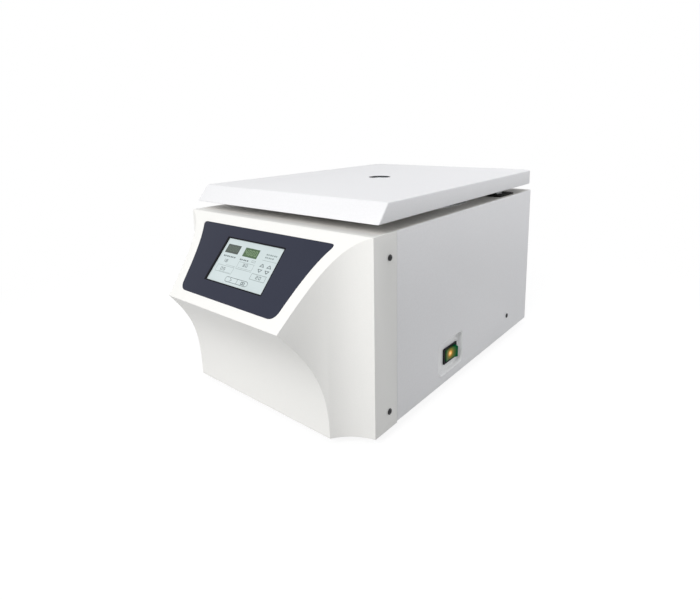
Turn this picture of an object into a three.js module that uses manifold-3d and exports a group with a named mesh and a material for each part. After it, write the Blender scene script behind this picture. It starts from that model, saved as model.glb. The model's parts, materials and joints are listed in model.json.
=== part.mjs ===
import * as THREE from 'three';
import { mergeVertices } from 'three/addons/utils/BufferGeometryUtils.js';
import Module from 'manifold-3d';

const wasm = await Module();
wasm.setup();

// Lengths are millimetres. While the pieces are drawn, x = 0 is the middle of the machine, y = 0 is the
// line of its two front corner edges, z = 0 is the lower edge of the front panel, and the rear is at +y.

// Fits
const SEAT_GAP = 0.3;
const RUN_GAP = 0.4;
const OVERRUN = 2;

// How finely round shapes are drawn
const BIG_ROUND = 40;
const ROUND = 20;
const SMALL_ROUND = 12;
const CORNER_STEPS = 2;
const FLANK_STEPS = 18;
const CHIN_STEPS = 14;

// Body
const BODY_WIDTH = 360;
const BODY_DEPTH = 498;
const BODY_HEIGHT = 254;
const SHEET = 1.5;

// Moulded front panel: a flat display face that runs forward to a nose, with a concave chin below it and
// concave flanks on both sides
const PANEL_WALL = 3.5;
const NOSE_REACH = 92;
const NOSE_DROP = 104;
const NOSE_WIDTH = 224;
const FLANK_CORNER_ANGLE = 15.5;
const FLANK_CORNER_PULL = 43.5;
const FLANK_NOSE_ANGLE = 15.5;
const FLANK_NOSE_PULL = 51;
const CHIN_ANGLE = 48.8;
const CHIN_PULL = 63.5;
const TOE_REACH = 33;
const TOE_PULL = 73.3;
const SIDE_RETURN = 47;
const LEDGE_DEPTH = 17;
const RIB_THICK = 2.5;
const RIB_DEPTH = 12;
const RIB_SPREAD = 150;
const RIB_FOOT = 24;

// Display: overlay sheet, touch glass, and display module with its control board
const OVERLAY_TOP = 16;
const OVERLAY_BOTTOM = 124.5;
const OVERLAY_MARGIN = 17.5;
const OVERLAY_TOP_RADIUS = 5;
const OVERLAY_BOTTOM_RADIUS = 13;
const OVERLAY_THICK = 1.3;
const SCREEN_WIDTH = 110.5;
const SCREEN_HEIGHT = 65.2;
const SCREEN_TOP = 34.8;
const GLASS_RIM = 3;
const GLASS_THICK = 1.1;
const MODULE_RIM = 6;
const MODULE_DEPTH = 9;
const BOARD_WIDTH = 150;
const BOARD_HEIGHT = 84;
const BOARD_THICK = 1.6;
const BOARD_STANDOFF = 10;
const STANDOFF_RADIUS = 3;
const STANDOFF_INSET = 9;
const CHIP_SIZE = 22;
const CHIP_THICK = 3;
const CONNECTOR_WIDTH = 40;
const CONNECTOR_HEIGHT = 9;
const CONNECTOR_DEPTH = 11;

// Steel housing round the sides and the back
const HOUSING_LIFT = 1.5;
const SEAM_GAP = 0.5;
const REAR_CORNER_RADIUS = 8;
const DECK_FLANGE = 12;
const VENT_COUNT = 8;
const VENT_PITCH = 10;
const VENT_LENGTH = 96;
const VENT_SLOT = 4;
const VENT_SIDE_INSET = 95;
const VENT_Z = 40;

// Deck, the plate that the lid closes over
const DECK_SHEET = 2;

// Base tray
const PAN_SHEET = 2;
const PAN_LIP = 7.5;
const PAN_FRONT = 4;

// Feet
const FOOT_HEIGHT = 14.5;
const FOOT_TOP_RADIUS = 16;
const FOOT_BOTTOM_RADIUS = 13.5;
const FOOT_HOLE_RADIUS = 5;
const FOOT_HOLE_DEPTH = 7;
const FOOT_SIDE_INSET = 52;
const FOOT_FRONT_Y = 64;
const FOOT_REAR_INSET = 52;

// Chamber: a flanged wall, a floor pressed into it, and a rubber ring
const CHAMBER_Y = 260;
const BOWL_RADIUS = 138;
const BOWL_DEPTH = 128.5;
const BOWL_FLANGE = 13;
const FLOOR_RIM = 8;
const COLLAR_RADIUS = 24;
const COLLAR_HEIGHT = 5;
const RING_WIDTH = 9;
const RING_LIP = 1.5;

// Motor, its plate and its rubber mounts
const MOUNT_HEIGHT = 24.6;
const MOUNT_RADIUS = 12;
const MOUNT_WAIST = 9;
const MOUNT_CAP = 4;
const MOUNT_COUNT = 3;
const MOUNT_CIRCLE = 66;
const PLATE_RADIUS = 80;
const PLATE_THICK = 4;
const PLATE_WINDOW = 26;
const MOTOR_RADIUS = 50;
const MOTOR_FLANGE = 58;
const MOTOR_FLANGE_THICK = 6;
const MOTOR_CLEARANCE = 14.2;
const MOTOR_SHOULDER = 9;
const MOTOR_BORE_DEPTH = 12;
const SHAFT_RADIUS = 6;
const SHAFT_SHOULDER = 10;
const SHAFT_TAPER = 1.5;

// Rotor: a four-place cross, its nut and its buckets
const PIVOT_CIRCLE = 70;
const PIVOT_RISE = 69.5;
const CROSS_RADIUS = 86;
const CROSS_THICK = 16;
const CHANNEL_HALF = 27;
const CHANNEL_START = 42;
const HUB_RADIUS = 20;
const HUB_ABOVE = 12;
const HUB_BELOW = 14;
const ARM_HOLE_RADIUS = 7;
const ARM_HOLE_REACH = 47;
const PIN_RADIUS = 4;
const PIN_LENGTH = 4.4;
const NUT_RADIUS = 15;
const NUT_HEIGHT = 22;
const NUT_GRIPS = 10;
const NUT_GRIP_RADIUS = 3;
const SHAFT_IN_NUT = 9;
const BUCKET_RADIUS = 22;
const BUCKET_WALL = 2.5;
const BUCKET_ABOVE = 12;
const BUCKET_BELOW = 54;
const BUCKET_CORNER = 9;
const BUCKET_RIM = 1.5;
const BUCKET_RIM_HEIGHT = 5;
const EAR_RADIUS = 9;
const EAR_GAP = 0.6;
const BUCKET_COUNT = 4;

// Lid
const LID_LIFT = 12.5;
const LID_HEIGHT = 24.5;
const LID_REAR_REACH = 4;
const LID_FRONT_INSET = 10;
const LID_BEVEL_RUN = 20;
const LID_WALL = 2;
const LID_CORNER_RADIUS = 22;
const LINER_RISE = 1;
const LINER_SHEET = 1.5;
const DISH_MARGIN = 2.5;
const DISH_DEPTH = 5;

// Sight port in the middle of the lid
const PORT_RADIUS = 19;
const SLEEVE_WALL = 2;
const SLEEVE_LIP = 4;
const WINDOW_THICK = 3;
const WINDOW_DEPTH = 6;
const WINDOW_SEAT = 2.5;

// Lid hinges
const HINGE_SIDE_INSET = 70;
const HINGE_INSET = 11;
const HINGE_RISE = 4;
const HINGE_PIN_RADIUS = 2.5;
const KNUCKLE_RADIUS = 5.2;
const KNUCKLE_WIDTH = 16;
const EAR_THICK = 4;
const EAR_FOOT_FRONT = 30;
const EAR_FOOT_BACK = 9;
const EAR_WAIST = 6.5;
const EAR_ARC = 120;
const EAR_ARC_STEPS = 8;
const HINGE_FOOT_THICK = 2;
const LEAF_THICK = 2.5;
const LEAF_REACH = 67;
const LEAF_WIDTH = 40;
const LEAF_NECK_REACH = 34;
const NOTCH_DEPTH = 44;
const NOTCH_SIDE = 3;

// Gas springs of the lid, one on each side
const SPRING_SIDE_INSET = 27;
const SPRING_ARM = 91;
const SPRING_PIN_DROP = 2;
const SPRING_LEAN = 60;
const SPRING_DROP = 160;
const SPRING_EYE_RADIUS = 6;
const SPRING_EYE_WIDTH = 6;
const SPRING_PIN_RADIUS = 3;
const SPRING_TUBE_RADIUS = 7.5;
const SPRING_TUBE_WALL = 1.3;
const SPRING_TUBE_START = 10;
const SPRING_TUBE_LENGTH = 140;
const SPRING_TUBE_END = 4;
const SPRING_GUIDE = 8;
const SPRING_ROD_RADIUS = 3;
const SPRING_PISTON_LENGTH = 8;
const ANCHOR_PLATE = 34;
const ANCHOR_THICK = 2;
const ANCHOR_BOSS_RADIUS = 6;
const BRACKET_THICK = 2.5;
const BRACKET_LENGTH = 20;
const BRACKET_EDGE = 7.5;
const BRACKET_FLANGE = 14;
const BRACKET_SHEET = 1.5;
const SLOT_LENGTH = 31;
const SLOT_WIDTH = 12;
const DECK_HOLE_LENGTH = 50;
const DECK_HOLE_WIDTH = 24;
const GROMMET_LENGTH = 58;
const GROMMET_WIDTH = 37;
const GROMMET_CORNER = 4;
const GROMMET_THICK = 2;
const GROMMET_WALL = 1.3;
const GROMMET_DEPTH = 4;

// Lid lock
const LOCK_Y = 80;
const STRIKER_WIDTH = 24;
const STRIKER_THICK = 4;
const STRIKER_LENGTH = 35;
const STRIKER_EYE_WIDTH = 14;
const STRIKER_EYE_HEIGHT = 9;
const STRIKER_EYE_LIFT = 5;
const STRIKER_FLANGE = 12;
const LOCK_WIDTH = 46;
const LOCK_FRONT = 24;
const LOCK_BACK = 16;
const LOCK_HEIGHT = 36;
const LOCK_SLOT_SLACK = 2;
const BOLT_WIDTH = 11;
const BOLT_HEIGHT = 5.4;
const BOLT_LENGTH = 16;
const BOLT_STEM_RADIUS = 2.5;
const BOLT_STEM_LENGTH = 12;
const BOLT_TRAVEL = 9;

// Mains switch in its recess on the right side
const RECESS_Y = 190;
const RECESS_Z = 41;
const RECESS_LENGTH = 76;
const RECESS_HEIGHT = 54;
const RECESS_RADIUS = 12;
const RECESS_DEPTH = 7;
const RECESS_WALL = 1.5;
const RECESS_FLANGE = 7;
const SWITCH_Y = 198;
const SWITCH_Z = 37.5;
const BEZEL_LENGTH = 40;
const BEZEL_HEIGHT = 24.5;
const BEZEL_THICK = 1.7;
const SWITCH_BODY_INSET = 1.5;
const SWITCH_BODY_DEPTH = 24;
const ROCKER_RADIUS = 15.2;
const ROCKER_HALF_HEIGHT = 9.2;
const ROCKER_SINK = 1;
const ROCKER_RISE_ANGLE = 13;
const ROCKER_TILT = 7;
const ROCKER_DIP = 1.8;

// Mains inlet on the back
const INLET_SIDE_INSET = 62;
const INLET_Z = 46;
const INLET_WIDTH = 27.6;
const INLET_HEIGHT = 20;
const INLET_DEPTH = 22;
const INLET_FLANGE = 4.5;
const INLET_FLANGE_THICK = 1.7;
const INLET_CAVITY_WIDTH = 24;
const INLET_CAVITY_HEIGHT = 16.4;
const INLET_CAVITY_DEPTH = 18;
const INLET_CORNER = 5;
const INLET_PIN_SPACING = 7;
const INLET_PIN_DROP = 4;
const INLET_PIN_WIDTH = 4;
const INLET_PIN_THICK = 2;
const INLET_PIN_LENGTH = 12;

// Motor drive unit on the base tray
const DRIVE_SIDE_INSET = 88;
const DRIVE_Y = 96;
const DRIVE_WIDTH = 120;
const DRIVE_DEPTH = 64;
const DRIVE_HEIGHT = 62;
const FIN_COUNT = 9;
const FIN_THICK = 2.5;
const FIN_HEIGHT = 14;

// Side screws
const SCREW_HEAD_RADIUS = 4;
const SCREW_HEAD_HEIGHT = 1.5;
const SCREW_CROWN_SHARE = 0.6;
const SCREW_SHANK_RADIUS = 2;
const SCREW_SHANK_LENGTH = 8;
const SCREW_CROSS_LENGTH = 5;
const SCREW_CROSS_WIDTH = 1;
const SCREW_CROSS_DEPTH = 0.8;
const SCREW_UPPER_Y = 32;
const SCREW_UPPER_DROP = 30;
const SCREW_LOWER_Y = 30;
const SCREW_LOWER_Z = 24;
const SCREW_REAR_Y = 399;
const SCREW_REAR_Z = 35;

// Places that several pieces share
const halfWidth = BODY_WIDTH / 2;
const innerHalfWidth = halfWidth - SHEET;
const ventX = halfWidth - VENT_SIDE_INSET;
const footX = halfWidth - FOOT_SIDE_INSET;
const hingeX = halfWidth - HINGE_SIDE_INSET;
const springX = halfWidth - SPRING_SIDE_INSET;
const inletX = INLET_SIDE_INSET - halfWidth;
const driveX = DRIVE_SIDE_INSET - halfWidth;
const noseHeight = BODY_HEIGHT - NOSE_DROP;
const faceLean = Math.atan2(NOSE_REACH, NOSE_DROP);
const deckUnderside = BODY_HEIGHT - DECK_SHEET;
const housingFront = SIDE_RETURN + SEAM_GAP;
const panFloor = PANEL_WALL + SEAT_GAP;
const panTop = panFloor + PAN_SHEET;
const bowlFloor = BODY_HEIGHT - BOWL_DEPTH;
const bowlOuter = BOWL_RADIUS + SHEET;
const bowlRim = BODY_HEIGHT + SEAT_GAP + SHEET;
const motorPlateFloor = panTop + SEAT_GAP + MOUNT_HEIGHT + SEAT_GAP;
const motorFloor = motorPlateFloor + PLATE_THICK + SEAT_GAP;
const motorTop = bowlFloor - MOTOR_CLEARANCE;
const pivotHeight = bowlFloor + PIVOT_RISE;
const hubFloor = pivotHeight - HUB_BELOW;
const hubTop = pivotHeight + HUB_ABOVE;
const lidBottom = BODY_HEIGHT + LID_LIFT;
const lidTop = lidBottom + LID_HEIGHT;
const lidRear = BODY_DEPTH + LID_REAR_REACH;
const linerBottom = lidBottom + LINER_RISE;
const linerTop = linerBottom + LINER_SHEET;
const dishBottom = linerBottom - DISH_DEPTH;
const ringInner = BOWL_RADIUS + RING_LIP;
const ringOuter = ringInner + RING_WIDTH;
const dishRadius = ringOuter + DISH_MARGIN;
const hingeY = lidRear - HINGE_INSET;
const hingeZ = lidBottom + HINGE_RISE;
const springTopY = hingeY - SPRING_ARM;
const springTopZ = BODY_HEIGHT - SPRING_PIN_DROP;
const springLength = Math.hypot(SPRING_LEAN, SPRING_DROP);
const bracketFace = springX + SPRING_EYE_WIDTH / 2 + SEAT_GAP;
const strikerBottom = linerBottom - SEAT_GAP - STRIKER_LENGTH;
const boltZ = strikerBottom + STRIKER_EYE_LIFT + STRIKER_EYE_HEIGHT / 2;
const boltTip = LOCK_Y - STRIKER_THICK / 2 - LOCK_SLOT_SLACK - RUN_GAP;
const recessFloor = halfWidth - RECESS_DEPTH;
const bezelFace = recessFloor + SEAT_GAP + BEZEL_THICK;
const rockerPivot = bezelFace - ROCKER_SINK;
const screwUpperZ = BODY_HEIGHT - SCREW_UPPER_DROP;

// Materials
const finish = (color, roughness, metalness = 0) =>
  new THREE.MeshStandardMaterial({ color, roughness, metalness });
const whitePlastic = finish('#f7f7f4', 0.45);
const whitePaint = finish('#f2f2f0', 0.5);
const navyOverlay = finish('#3a3c4b', 0.35);
const screenGlass = finish('#c6d3d4', 0.2);
const blackPlastic = finish('#151517', 0.5);
const blackRubber = finish('#1c1c1e', 0.85);
const greenPlastic = finish('#0b7a45', 0.25);
const steel = finish('#b9bcbf', 0.35, 0.9);
const zincSteel = finish('#9fa3a6', 0.5, 0.8);
const aluminium = finish('#c8cacc', 0.4, 0.9);
const darkMetal = finish('#3c3f43', 0.5, 0.6);
const clearWindow = finish('#cfd8dc', 0.1);

// Turning a three.js geometry into a solid that can be cut and joined, and back

function solidOf(geometry) {
  const bare = geometry.clone();
  bare.deleteAttribute('normal');
  bare.deleteAttribute('uv');
  const merged = mergeVertices(bare);
  const corners = merged.index.array;
  const triangles = [];
  for (let i = 0; i < corners.length; i += 3) {
    const [a, b, c] = corners.slice(i, i + 3);
    if (a !== b && b !== c && c !== a) triangles.push(a, b, c);
  }
  const vertProperties = merged.attributes.position.array;
  return new wasm.Manifold(
    new wasm.Mesh({ numProp: 3, vertProperties, triVerts: new Uint32Array(triangles) }),
  );
}

function geometryOf(solid) {
  const mesh = solid.getMesh();
  const geometry = new THREE.BufferGeometry();
  geometry.setAttribute('position', new THREE.BufferAttribute(mesh.vertProperties, 3));
  geometry.setIndex(new THREE.BufferAttribute(mesh.triVerts, 1));
  const flat = geometry.toNonIndexed();
  flat.computeVertexNormals();
  return flat;
}

const asSolid = (shape) => (shape.isBufferGeometry ? solidOf(shape) : shape);
const join = (...shapes) => shapes.map(asSolid).reduce((all, next) => all.add(next));
const cut = (base, ...tools) => tools.map(asSolid).reduce((rest, tool) => rest.subtract(tool), asSolid(base));
const common = (first, second) => asSolid(first).intersect(asSolid(second));

// Drawing helpers

const QUARTER_TURN = 90;
const degrees = THREE.MathUtils.degToRad;
const axisX = new THREE.Vector3(1, 0, 0);
const axisY = new THREE.Vector3(0, 1, 0);
const axisZ = new THREE.Vector3(0, 0, 1);
const alongX = new THREE.Matrix4().makeBasis(axisY, axisZ, axisX);
const alongY = new THREE.Matrix4().makeBasis(axisX, axisZ, axisY.clone().negate());

// A flat outline pulled along one axis. The outline's two coordinates are y and z along x, x and z along
// y, and x and y along z.
function pull(shape, axis, from, to, curveSegments = CORNER_STEPS) {
  const geometry = new THREE.ExtrudeGeometry(shape, { depth: to - from, bevelEnabled: false, curveSegments });
  if (axis === 'x') return geometry.translate(0, 0, from).applyMatrix4(alongX);
  if (axis === 'y') return geometry.translate(0, 0, -to).applyMatrix4(alongY);
  return geometry.translate(0, 0, from);
}

function block([x0, x1], [y0, y1], [z0, z1]) {
  const box = new THREE.BoxGeometry(x1 - x0, y1 - y0, z1 - z0);
  return box.translate((x0 + x1) / 2, (y0 + y1) / 2, (z0 + z1) / 2);
}

const spread = (middle, width) => [middle - width / 2, middle + width / 2];
const between = (a, b) => [Math.min(a, b), Math.max(a, b)];

// A round bar along an axis, centred on the outline coordinates (u, v)
function bar(axis, u, v, radius, from, to, sides = SMALL_ROUND) {
  const outline = new THREE.Shape().absarc(u, v, radius, 0, 2 * Math.PI);
  return pull(outline, axis, from, to, sides / 2);
}

function roundedRect(u, v, width, height, radius) {
  const left = u - width / 2 + radius;
  const right = u + width / 2 - radius;
  const low = v - height / 2 + radius;
  const high = v + height / 2 - radius;
  const quarter = Math.PI / 2;
  const shape = new THREE.Shape();
  shape.absarc(right, low, radius, -quarter, 0);
  shape.absarc(right, high, radius, 0, quarter);
  shape.absarc(left, high, radius, quarter, 2 * quarter);
  shape.absarc(left, low, radius, 2 * quarter, 3 * quarter);
  return shape;
}

const outlineOf = (points) => new THREE.Shape(points.map(([u, v]) => new THREE.Vector2(u, v)));

// A profile of [radius, height] points, listed with the outside wall going up, turned round the z axis. A
// profile that does not start on the axis is closed on itself.
function turn(profile, sides) {
  const closed = profile[0][0] > 0 ? [...profile, profile[0]] : profile;
  const points = closed.map(([radius, height]) => new THREE.Vector2(radius, height));
  return new THREE.LatheGeometry(points, sides).rotateX(Math.PI / 2);
}

function arcPoints(u, v, radius, fromDegrees, toDegrees, steps) {
  return Array.from({ length: steps + 1 }, (_, i) => {
    const angle = degrees(fromDegrees + ((toDegrees - fromDegrees) * i) / steps);
    return [u + radius * Math.cos(angle), v + radius * Math.sin(angle)];
  });
}

// An outline moved inwards by one distance along its whole length
function inset(points, distance) {
  const area = points.reduce((sum, [u, v], i) => {
    const [nextU, nextV] = points[(i + 1) % points.length];
    return sum + u * nextV - nextU * v;
  }, 0);
  const inward = Math.sign(area) * distance;
  const normal = ([u0, v0], [u1, v1]) => {
    const length = Math.hypot(u1 - u0, v1 - v0);
    return [(v0 - v1) / length, (u1 - u0) / length];
  };
  return points.map((point, i) => {
    const before = normal(points[(i + points.length - 1) % points.length], point);
    const after = normal(point, points[(i + 1) % points.length]);
    const reach = inward / (1 + before[0] * after[0] + before[1] * after[1]);
    return [point[0] + (before[0] + after[0]) * reach, point[1] + (before[1] + after[1]) * reach];
  });
}

// Bodies of the machine: the lid, the rotor and the other moving groups hang on the machine group

const machine = new THREE.Group();

function add(name, shape, material, parent = machine) {
  const mesh = new THREE.Mesh(geometryOf(asSolid(shape)), material);
  mesh.name = name;
  parent.add(mesh);
  return mesh;
}

function groupAt(x, y, z, parent = machine) {
  const group = new THREE.Group();
  group.position.set(x, y, z);
  parent.add(group);
  return group;
}

const SIDES = [
  ['right', 1],
  ['left', -1],
];

// Front panel

function flankCurve() {
  const cornerAngle = degrees(FLANK_CORNER_ANGLE);
  const noseAngle = degrees(FLANK_NOSE_ANGLE);
  const corner = new THREE.Vector2(halfWidth, 0);
  const nose = new THREE.Vector2(NOSE_WIDTH / 2, -NOSE_REACH);
  const fromCorner = new THREE.Vector2(-Math.cos(cornerAngle), -Math.sin(cornerAngle));
  const fromNose = new THREE.Vector2(Math.sin(noseAngle), Math.cos(noseAngle));
  return new THREE.CubicBezierCurve(
    corner,
    fromCorner.multiplyScalar(FLANK_CORNER_PULL).add(corner),
    fromNose.multiplyScalar(FLANK_NOSE_PULL).add(nose),
    nose,
  );
}

function chinCurve() {
  const angle = degrees(CHIN_ANGLE);
  const nose = new THREE.Vector2(-NOSE_REACH, noseHeight);
  const toe = new THREE.Vector2(-TOE_REACH, 0);
  const fromNose = new THREE.Vector2(Math.cos(angle), -Math.sin(angle));
  return new THREE.CubicBezierCurve(
    nose,
    fromNose.multiplyScalar(CHIN_PULL).add(nose),
    new THREE.Vector2(-TOE_REACH, TOE_PULL),
    toe,
  );
}

const flank = flankCurve().getPoints(FLANK_STEPS).map(({ x, y }) => [x, y]);
const chin = chinCurve().getPoints(CHIN_STEPS).map(({ x, y }) => [x, y]);

// Seen from above: both flanks and the straight side returns
function planOutline(rear) {
  const leftFlank = flank.map(([x, y]) => [-x, y]).reverse();
  return [[halfWidth, rear], ...flank, ...leftFlank, [-halfWidth, rear]];
}

// Seen from the side: ledge, display face, nose, chin and floor
function sideOutline(rear) {
  return [[rear, BODY_HEIGHT], [0, BODY_HEIGHT], ...chin, [rear, 0]];
}

function panelForm(rear, depth) {
  const plan = pull(outlineOf(inset(planOutline(rear), depth)), 'z', -OVERRUN, BODY_HEIGHT + OVERRUN);
  const side = pull(outlineOf(inset(sideOutline(rear), depth)), 'x', -BODY_WIDTH, BODY_WIDTH);
  return common(plan, side);
}

// Places on the display face: x across, t up the slope from its top edge, w out of the face
const face = groupAt(0, 0, BODY_HEIGHT);
face.rotation.x = Math.PI / 2 - faceLean;
face.updateMatrixWorld();
const onFace = (geometry) => geometry.applyMatrix4(face.matrixWorld);
const screenMiddle = -(SCREEN_TOP + SCREEN_HEIGHT / 2);

const crossing = (points, t) => {
  const i = points.findIndex(([, v]) => v <= t);
  const [[u0, v0], [u1, v1]] = [points[i - 1], points[i]];
  return u0 + ((u1 - u0) * (t - v0)) / (v1 - v0);
};

// A point that carries the line from one point to the next on by a given length
function beyond([u0, v0], [u1, v1], length) {
  const share = length / Math.hypot(u1 - u0, v1 - v0);
  return [u1 + (u1 - u0) * share, v1 + (v1 - v0) * share];
}

// The overlay follows the curved edges of the display face at one margin
function overlayOutline(grow) {
  const slope = flank.map(([x, y]) => [x, y / Math.sin(faceLean)]);
  const above = beyond(slope[1], slope[0], 2 * OVERLAY_MARGIN);
  const below = beyond(slope[slope.length - 2], slope[slope.length - 1], 2 * OVERLAY_MARGIN);
  const edge = [above, ...slope, below];
  const mirrored = edge.map(([x, t]) => [-x, t]).reverse();
  const side = inset([...edge, ...mirrored], OVERLAY_MARGIN - grow).slice(0, edge.length);
  const top = grow - OVERLAY_TOP;
  const bottom = -OVERLAY_BOTTOM - grow;
  const topX = crossing(side, top);
  const bottomX = crossing(side, bottom);
  const straight = side.filter(([, t]) => t < top - OVERLAY_TOP_RADIUS && t > bottom + OVERLAY_BOTTOM_RADIUS);
  const [firstX, firstT] = [crossing(side, top - OVERLAY_TOP_RADIUS), top - OVERLAY_TOP_RADIUS];
  const [lastX, lastT] = [crossing(side, bottom + OVERLAY_BOTTOM_RADIUS), bottom + OVERLAY_BOTTOM_RADIUS];
  const shape = new THREE.Shape();
  shape.moveTo(OVERLAY_TOP_RADIUS - topX, top);
  shape.lineTo(topX - OVERLAY_TOP_RADIUS, top);
  shape.quadraticCurveTo(topX, top, firstX, firstT);
  for (const [x, t] of straight) shape.lineTo(x, t);
  shape.lineTo(lastX, lastT);
  shape.quadraticCurveTo(bottomX, bottom, bottomX - OVERLAY_BOTTOM_RADIUS, bottom);
  shape.lineTo(OVERLAY_BOTTOM_RADIUS - bottomX, bottom);
  shape.quadraticCurveTo(-bottomX, bottom, -lastX, lastT);
  for (const [x, t] of [...straight].reverse()) shape.lineTo(-x, t);
  shape.lineTo(-firstX, firstT);
  shape.quadraticCurveTo(-topX, top, OVERLAY_TOP_RADIUS - topX, top);
  return shape;
}

const faceBlock = (rim, from, to) =>
  block(spread(0, SCREEN_WIDTH + 2 * rim), spread(screenMiddle, SCREEN_HEIGHT + 2 * rim), [from, to]);

const SCREW_PLACES = [
  ['upper', SCREW_UPPER_Y, screwUpperZ],
  ['lower', SCREW_LOWER_Y, SCREW_LOWER_Z],
  ['rear', SCREW_REAR_Y, SCREW_REAR_Z],
];
const screwHole = ([, y, z]) =>
  bar('x', y, z, SCREW_SHANK_RADIUS + RUN_GAP, -halfWidth - OVERRUN, halfWidth + OVERRUN);

// Upright stiffening ribs inside the toe, standing on the panel's floor
function panelRib(x) {
  const low = PANEL_WALL - OVERRUN / 2;
  const front = -TOE_REACH + PANEL_WALL - OVERRUN / 2;
  const profile = [
    [front, low],
    [front + RIB_FOOT, low],
    [front + RIB_DEPTH, low + RIB_FOOT + RIB_DEPTH],
    [front, low + RIB_FOOT + RIB_DEPTH],
  ];
  return common(pull(outlineOf(profile), 'x', ...spread(x, RIB_THICK)), panelForm(SIDE_RETURN, OVERRUN / 2));
}

function frontPanel() {
  const shell = cut(panelForm(SIDE_RETURN, 0), panelForm(SIDE_RETURN + PANEL_WALL + OVERRUN, PANEL_WALL));
  const rebate = block(
    spread(0, BODY_WIDTH - 2 * PANEL_WALL),
    [LEDGE_DEPTH, SIDE_RETURN + OVERRUN],
    [deckUnderside - SEAT_GAP, BODY_HEIGHT + OVERRUN],
  );
  const overlayRecess = onFace(pull(overlayOutline(SEAT_GAP), 'z', -OVERLAY_THICK - SEAT_GAP, OVERRUN));
  const screenHole = onFace(faceBlock(GLASS_RIM + SEAT_GAP, -PANEL_WALL - OVERRUN, OVERRUN));
  const holes = SCREW_PLACES.slice(0, 2).map(screwHole);
  const ribs = [-RIB_SPREAD / 2, 0, RIB_SPREAD / 2].map(panelRib);
  return cut(join(shell, ...ribs), rebate, overlayRecess, screenHole, ...holes);
}

function buildDisplay() {
  const overlay = cut(
    pull(overlayOutline(0), 'z', -OVERLAY_THICK, 0),
    faceBlock(0, -OVERLAY_THICK - OVERRUN, OVERRUN),
  );
  add('control_overlay', overlay, navyOverlay, face);

  const glassTop = -OVERLAY_THICK - SEAT_GAP;
  const glassBack = glassTop - GLASS_THICK;
  add('touch_screen', faceBlock(GLASS_RIM, glassBack, glassTop), screenGlass, face);

  const moduleFront = -PANEL_WALL - SEAT_GAP;
  const moduleBack = moduleFront - MODULE_DEPTH;
  const frameMiddle = moduleFront - MODULE_DEPTH / 2;
  const raisedFront = faceBlock(GLASS_RIM - SEAT_GAP, frameMiddle, glassBack - SEAT_GAP);
  const frame = faceBlock(MODULE_RIM, moduleBack, moduleFront);

  const boardTop = moduleBack - BOARD_STANDOFF;
  const boardBack = boardTop - BOARD_THICK;
  const boardMiddle = boardTop - BOARD_THICK / 2;
  const across = SCREEN_WIDTH / 2 - STANDOFF_INSET;
  const along = SCREEN_HEIGHT / 2 - STANDOFF_INSET;
  const posts = [-across, across].flatMap((x) =>
    [-along, along].map((t) => bar('z', x, screenMiddle + t, STANDOFF_RADIUS, boardMiddle, frameMiddle)),
  );
  const board = block(spread(0, BOARD_WIDTH), spread(screenMiddle, BOARD_HEIGHT), [boardBack, boardTop]);
  const chip = block(
    spread(0, CHIP_SIZE),
    spread(screenMiddle, CHIP_SIZE),
    [boardBack - CHIP_THICK, boardMiddle],
  );
  const plugs = [-across, across].map((x) =>
    block(
      spread(x, CONNECTOR_WIDTH),
      spread(screenMiddle - along, CONNECTOR_HEIGHT),
      [boardBack - CONNECTOR_DEPTH, boardMiddle],
    ),
  );
  add('display_module', join(frame, raisedFront, board, chip, ...plugs, ...posts), zincSteel, face);
}

// Housing, deck, base tray and feet

function rearOutline(front, halfSpan, rear, radius) {
  const corner = [rear - radius, halfSpan - radius];
  const right = arcPoints(corner[1], corner[0], radius, 0, QUARTER_TURN, 2 * CORNER_STEPS);
  const left = right.map(([x, y]) => [-x, y]).reverse();
  return [[-halfSpan, front], [halfSpan, front], ...right, ...left];
}

function wrapForm(front, depth, bottom, top) {
  const outline = rearOutline(front, halfWidth - depth, BODY_DEPTH - depth, REAR_CORNER_RADIUS);
  return pull(outlineOf(outline), 'z', bottom, top);
}

function ventSlots() {
  return Array.from({ length: VENT_COUNT }, (_, i) =>
    block(
      spread(ventX, VENT_LENGTH),
      [BODY_DEPTH - SHEET - OVERRUN, BODY_DEPTH + OVERRUN],
      spread(VENT_Z + i * VENT_PITCH, VENT_SLOT),
    ),
  );
}

const inletWindow = () =>
  block(
    spread(inletX, INLET_WIDTH + 2 * SEAT_GAP),
    [BODY_DEPTH - SHEET - OVERRUN, BODY_DEPTH + OVERRUN],
    spread(INLET_Z, INLET_HEIGHT + 2 * SEAT_GAP),
  );

// The outline of the switch recess, grown by a margin
function recessOutline(grow) {
  const length = RECESS_LENGTH + 2 * grow;
  const height = RECESS_HEIGHT + 2 * grow;
  return roundedRect(RECESS_Y, RECESS_Z, length, height, RECESS_RADIUS + grow);
}

function housingWrap() {
  const inside = housingFront - OVERRUN;
  const flangeTop = deckUnderside - SEAT_GAP;
  const walls = cut(
    wrapForm(housingFront, 0, HOUSING_LIFT, BODY_HEIGHT),
    wrapForm(inside, SHEET, HOUSING_LIFT - OVERRUN, BODY_HEIGHT + OVERRUN),
  );
  const flange = cut(
    wrapForm(housingFront, SHEET / 2, flangeTop - SHEET, flangeTop),
    wrapForm(inside, SHEET + DECK_FLANGE, flangeTop - SHEET - OVERRUN, flangeTop + OVERRUN),
  );
  const recess = pull(recessOutline(0), 'x', innerHalfWidth - OVERRUN, halfWidth + OVERRUN);
  return cut(join(walls, flange), recess, inletWindow(), screwHole(SCREW_PLACES[2]), ...ventSlots());
}

// Seen from above: an outline round the gas spring and its bracket
const springOutline = (sign, width, length) =>
  roundedRect(sign * (springX + BRACKET_THICK / 2), springTopY, width, length, GROMMET_CORNER);

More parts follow.
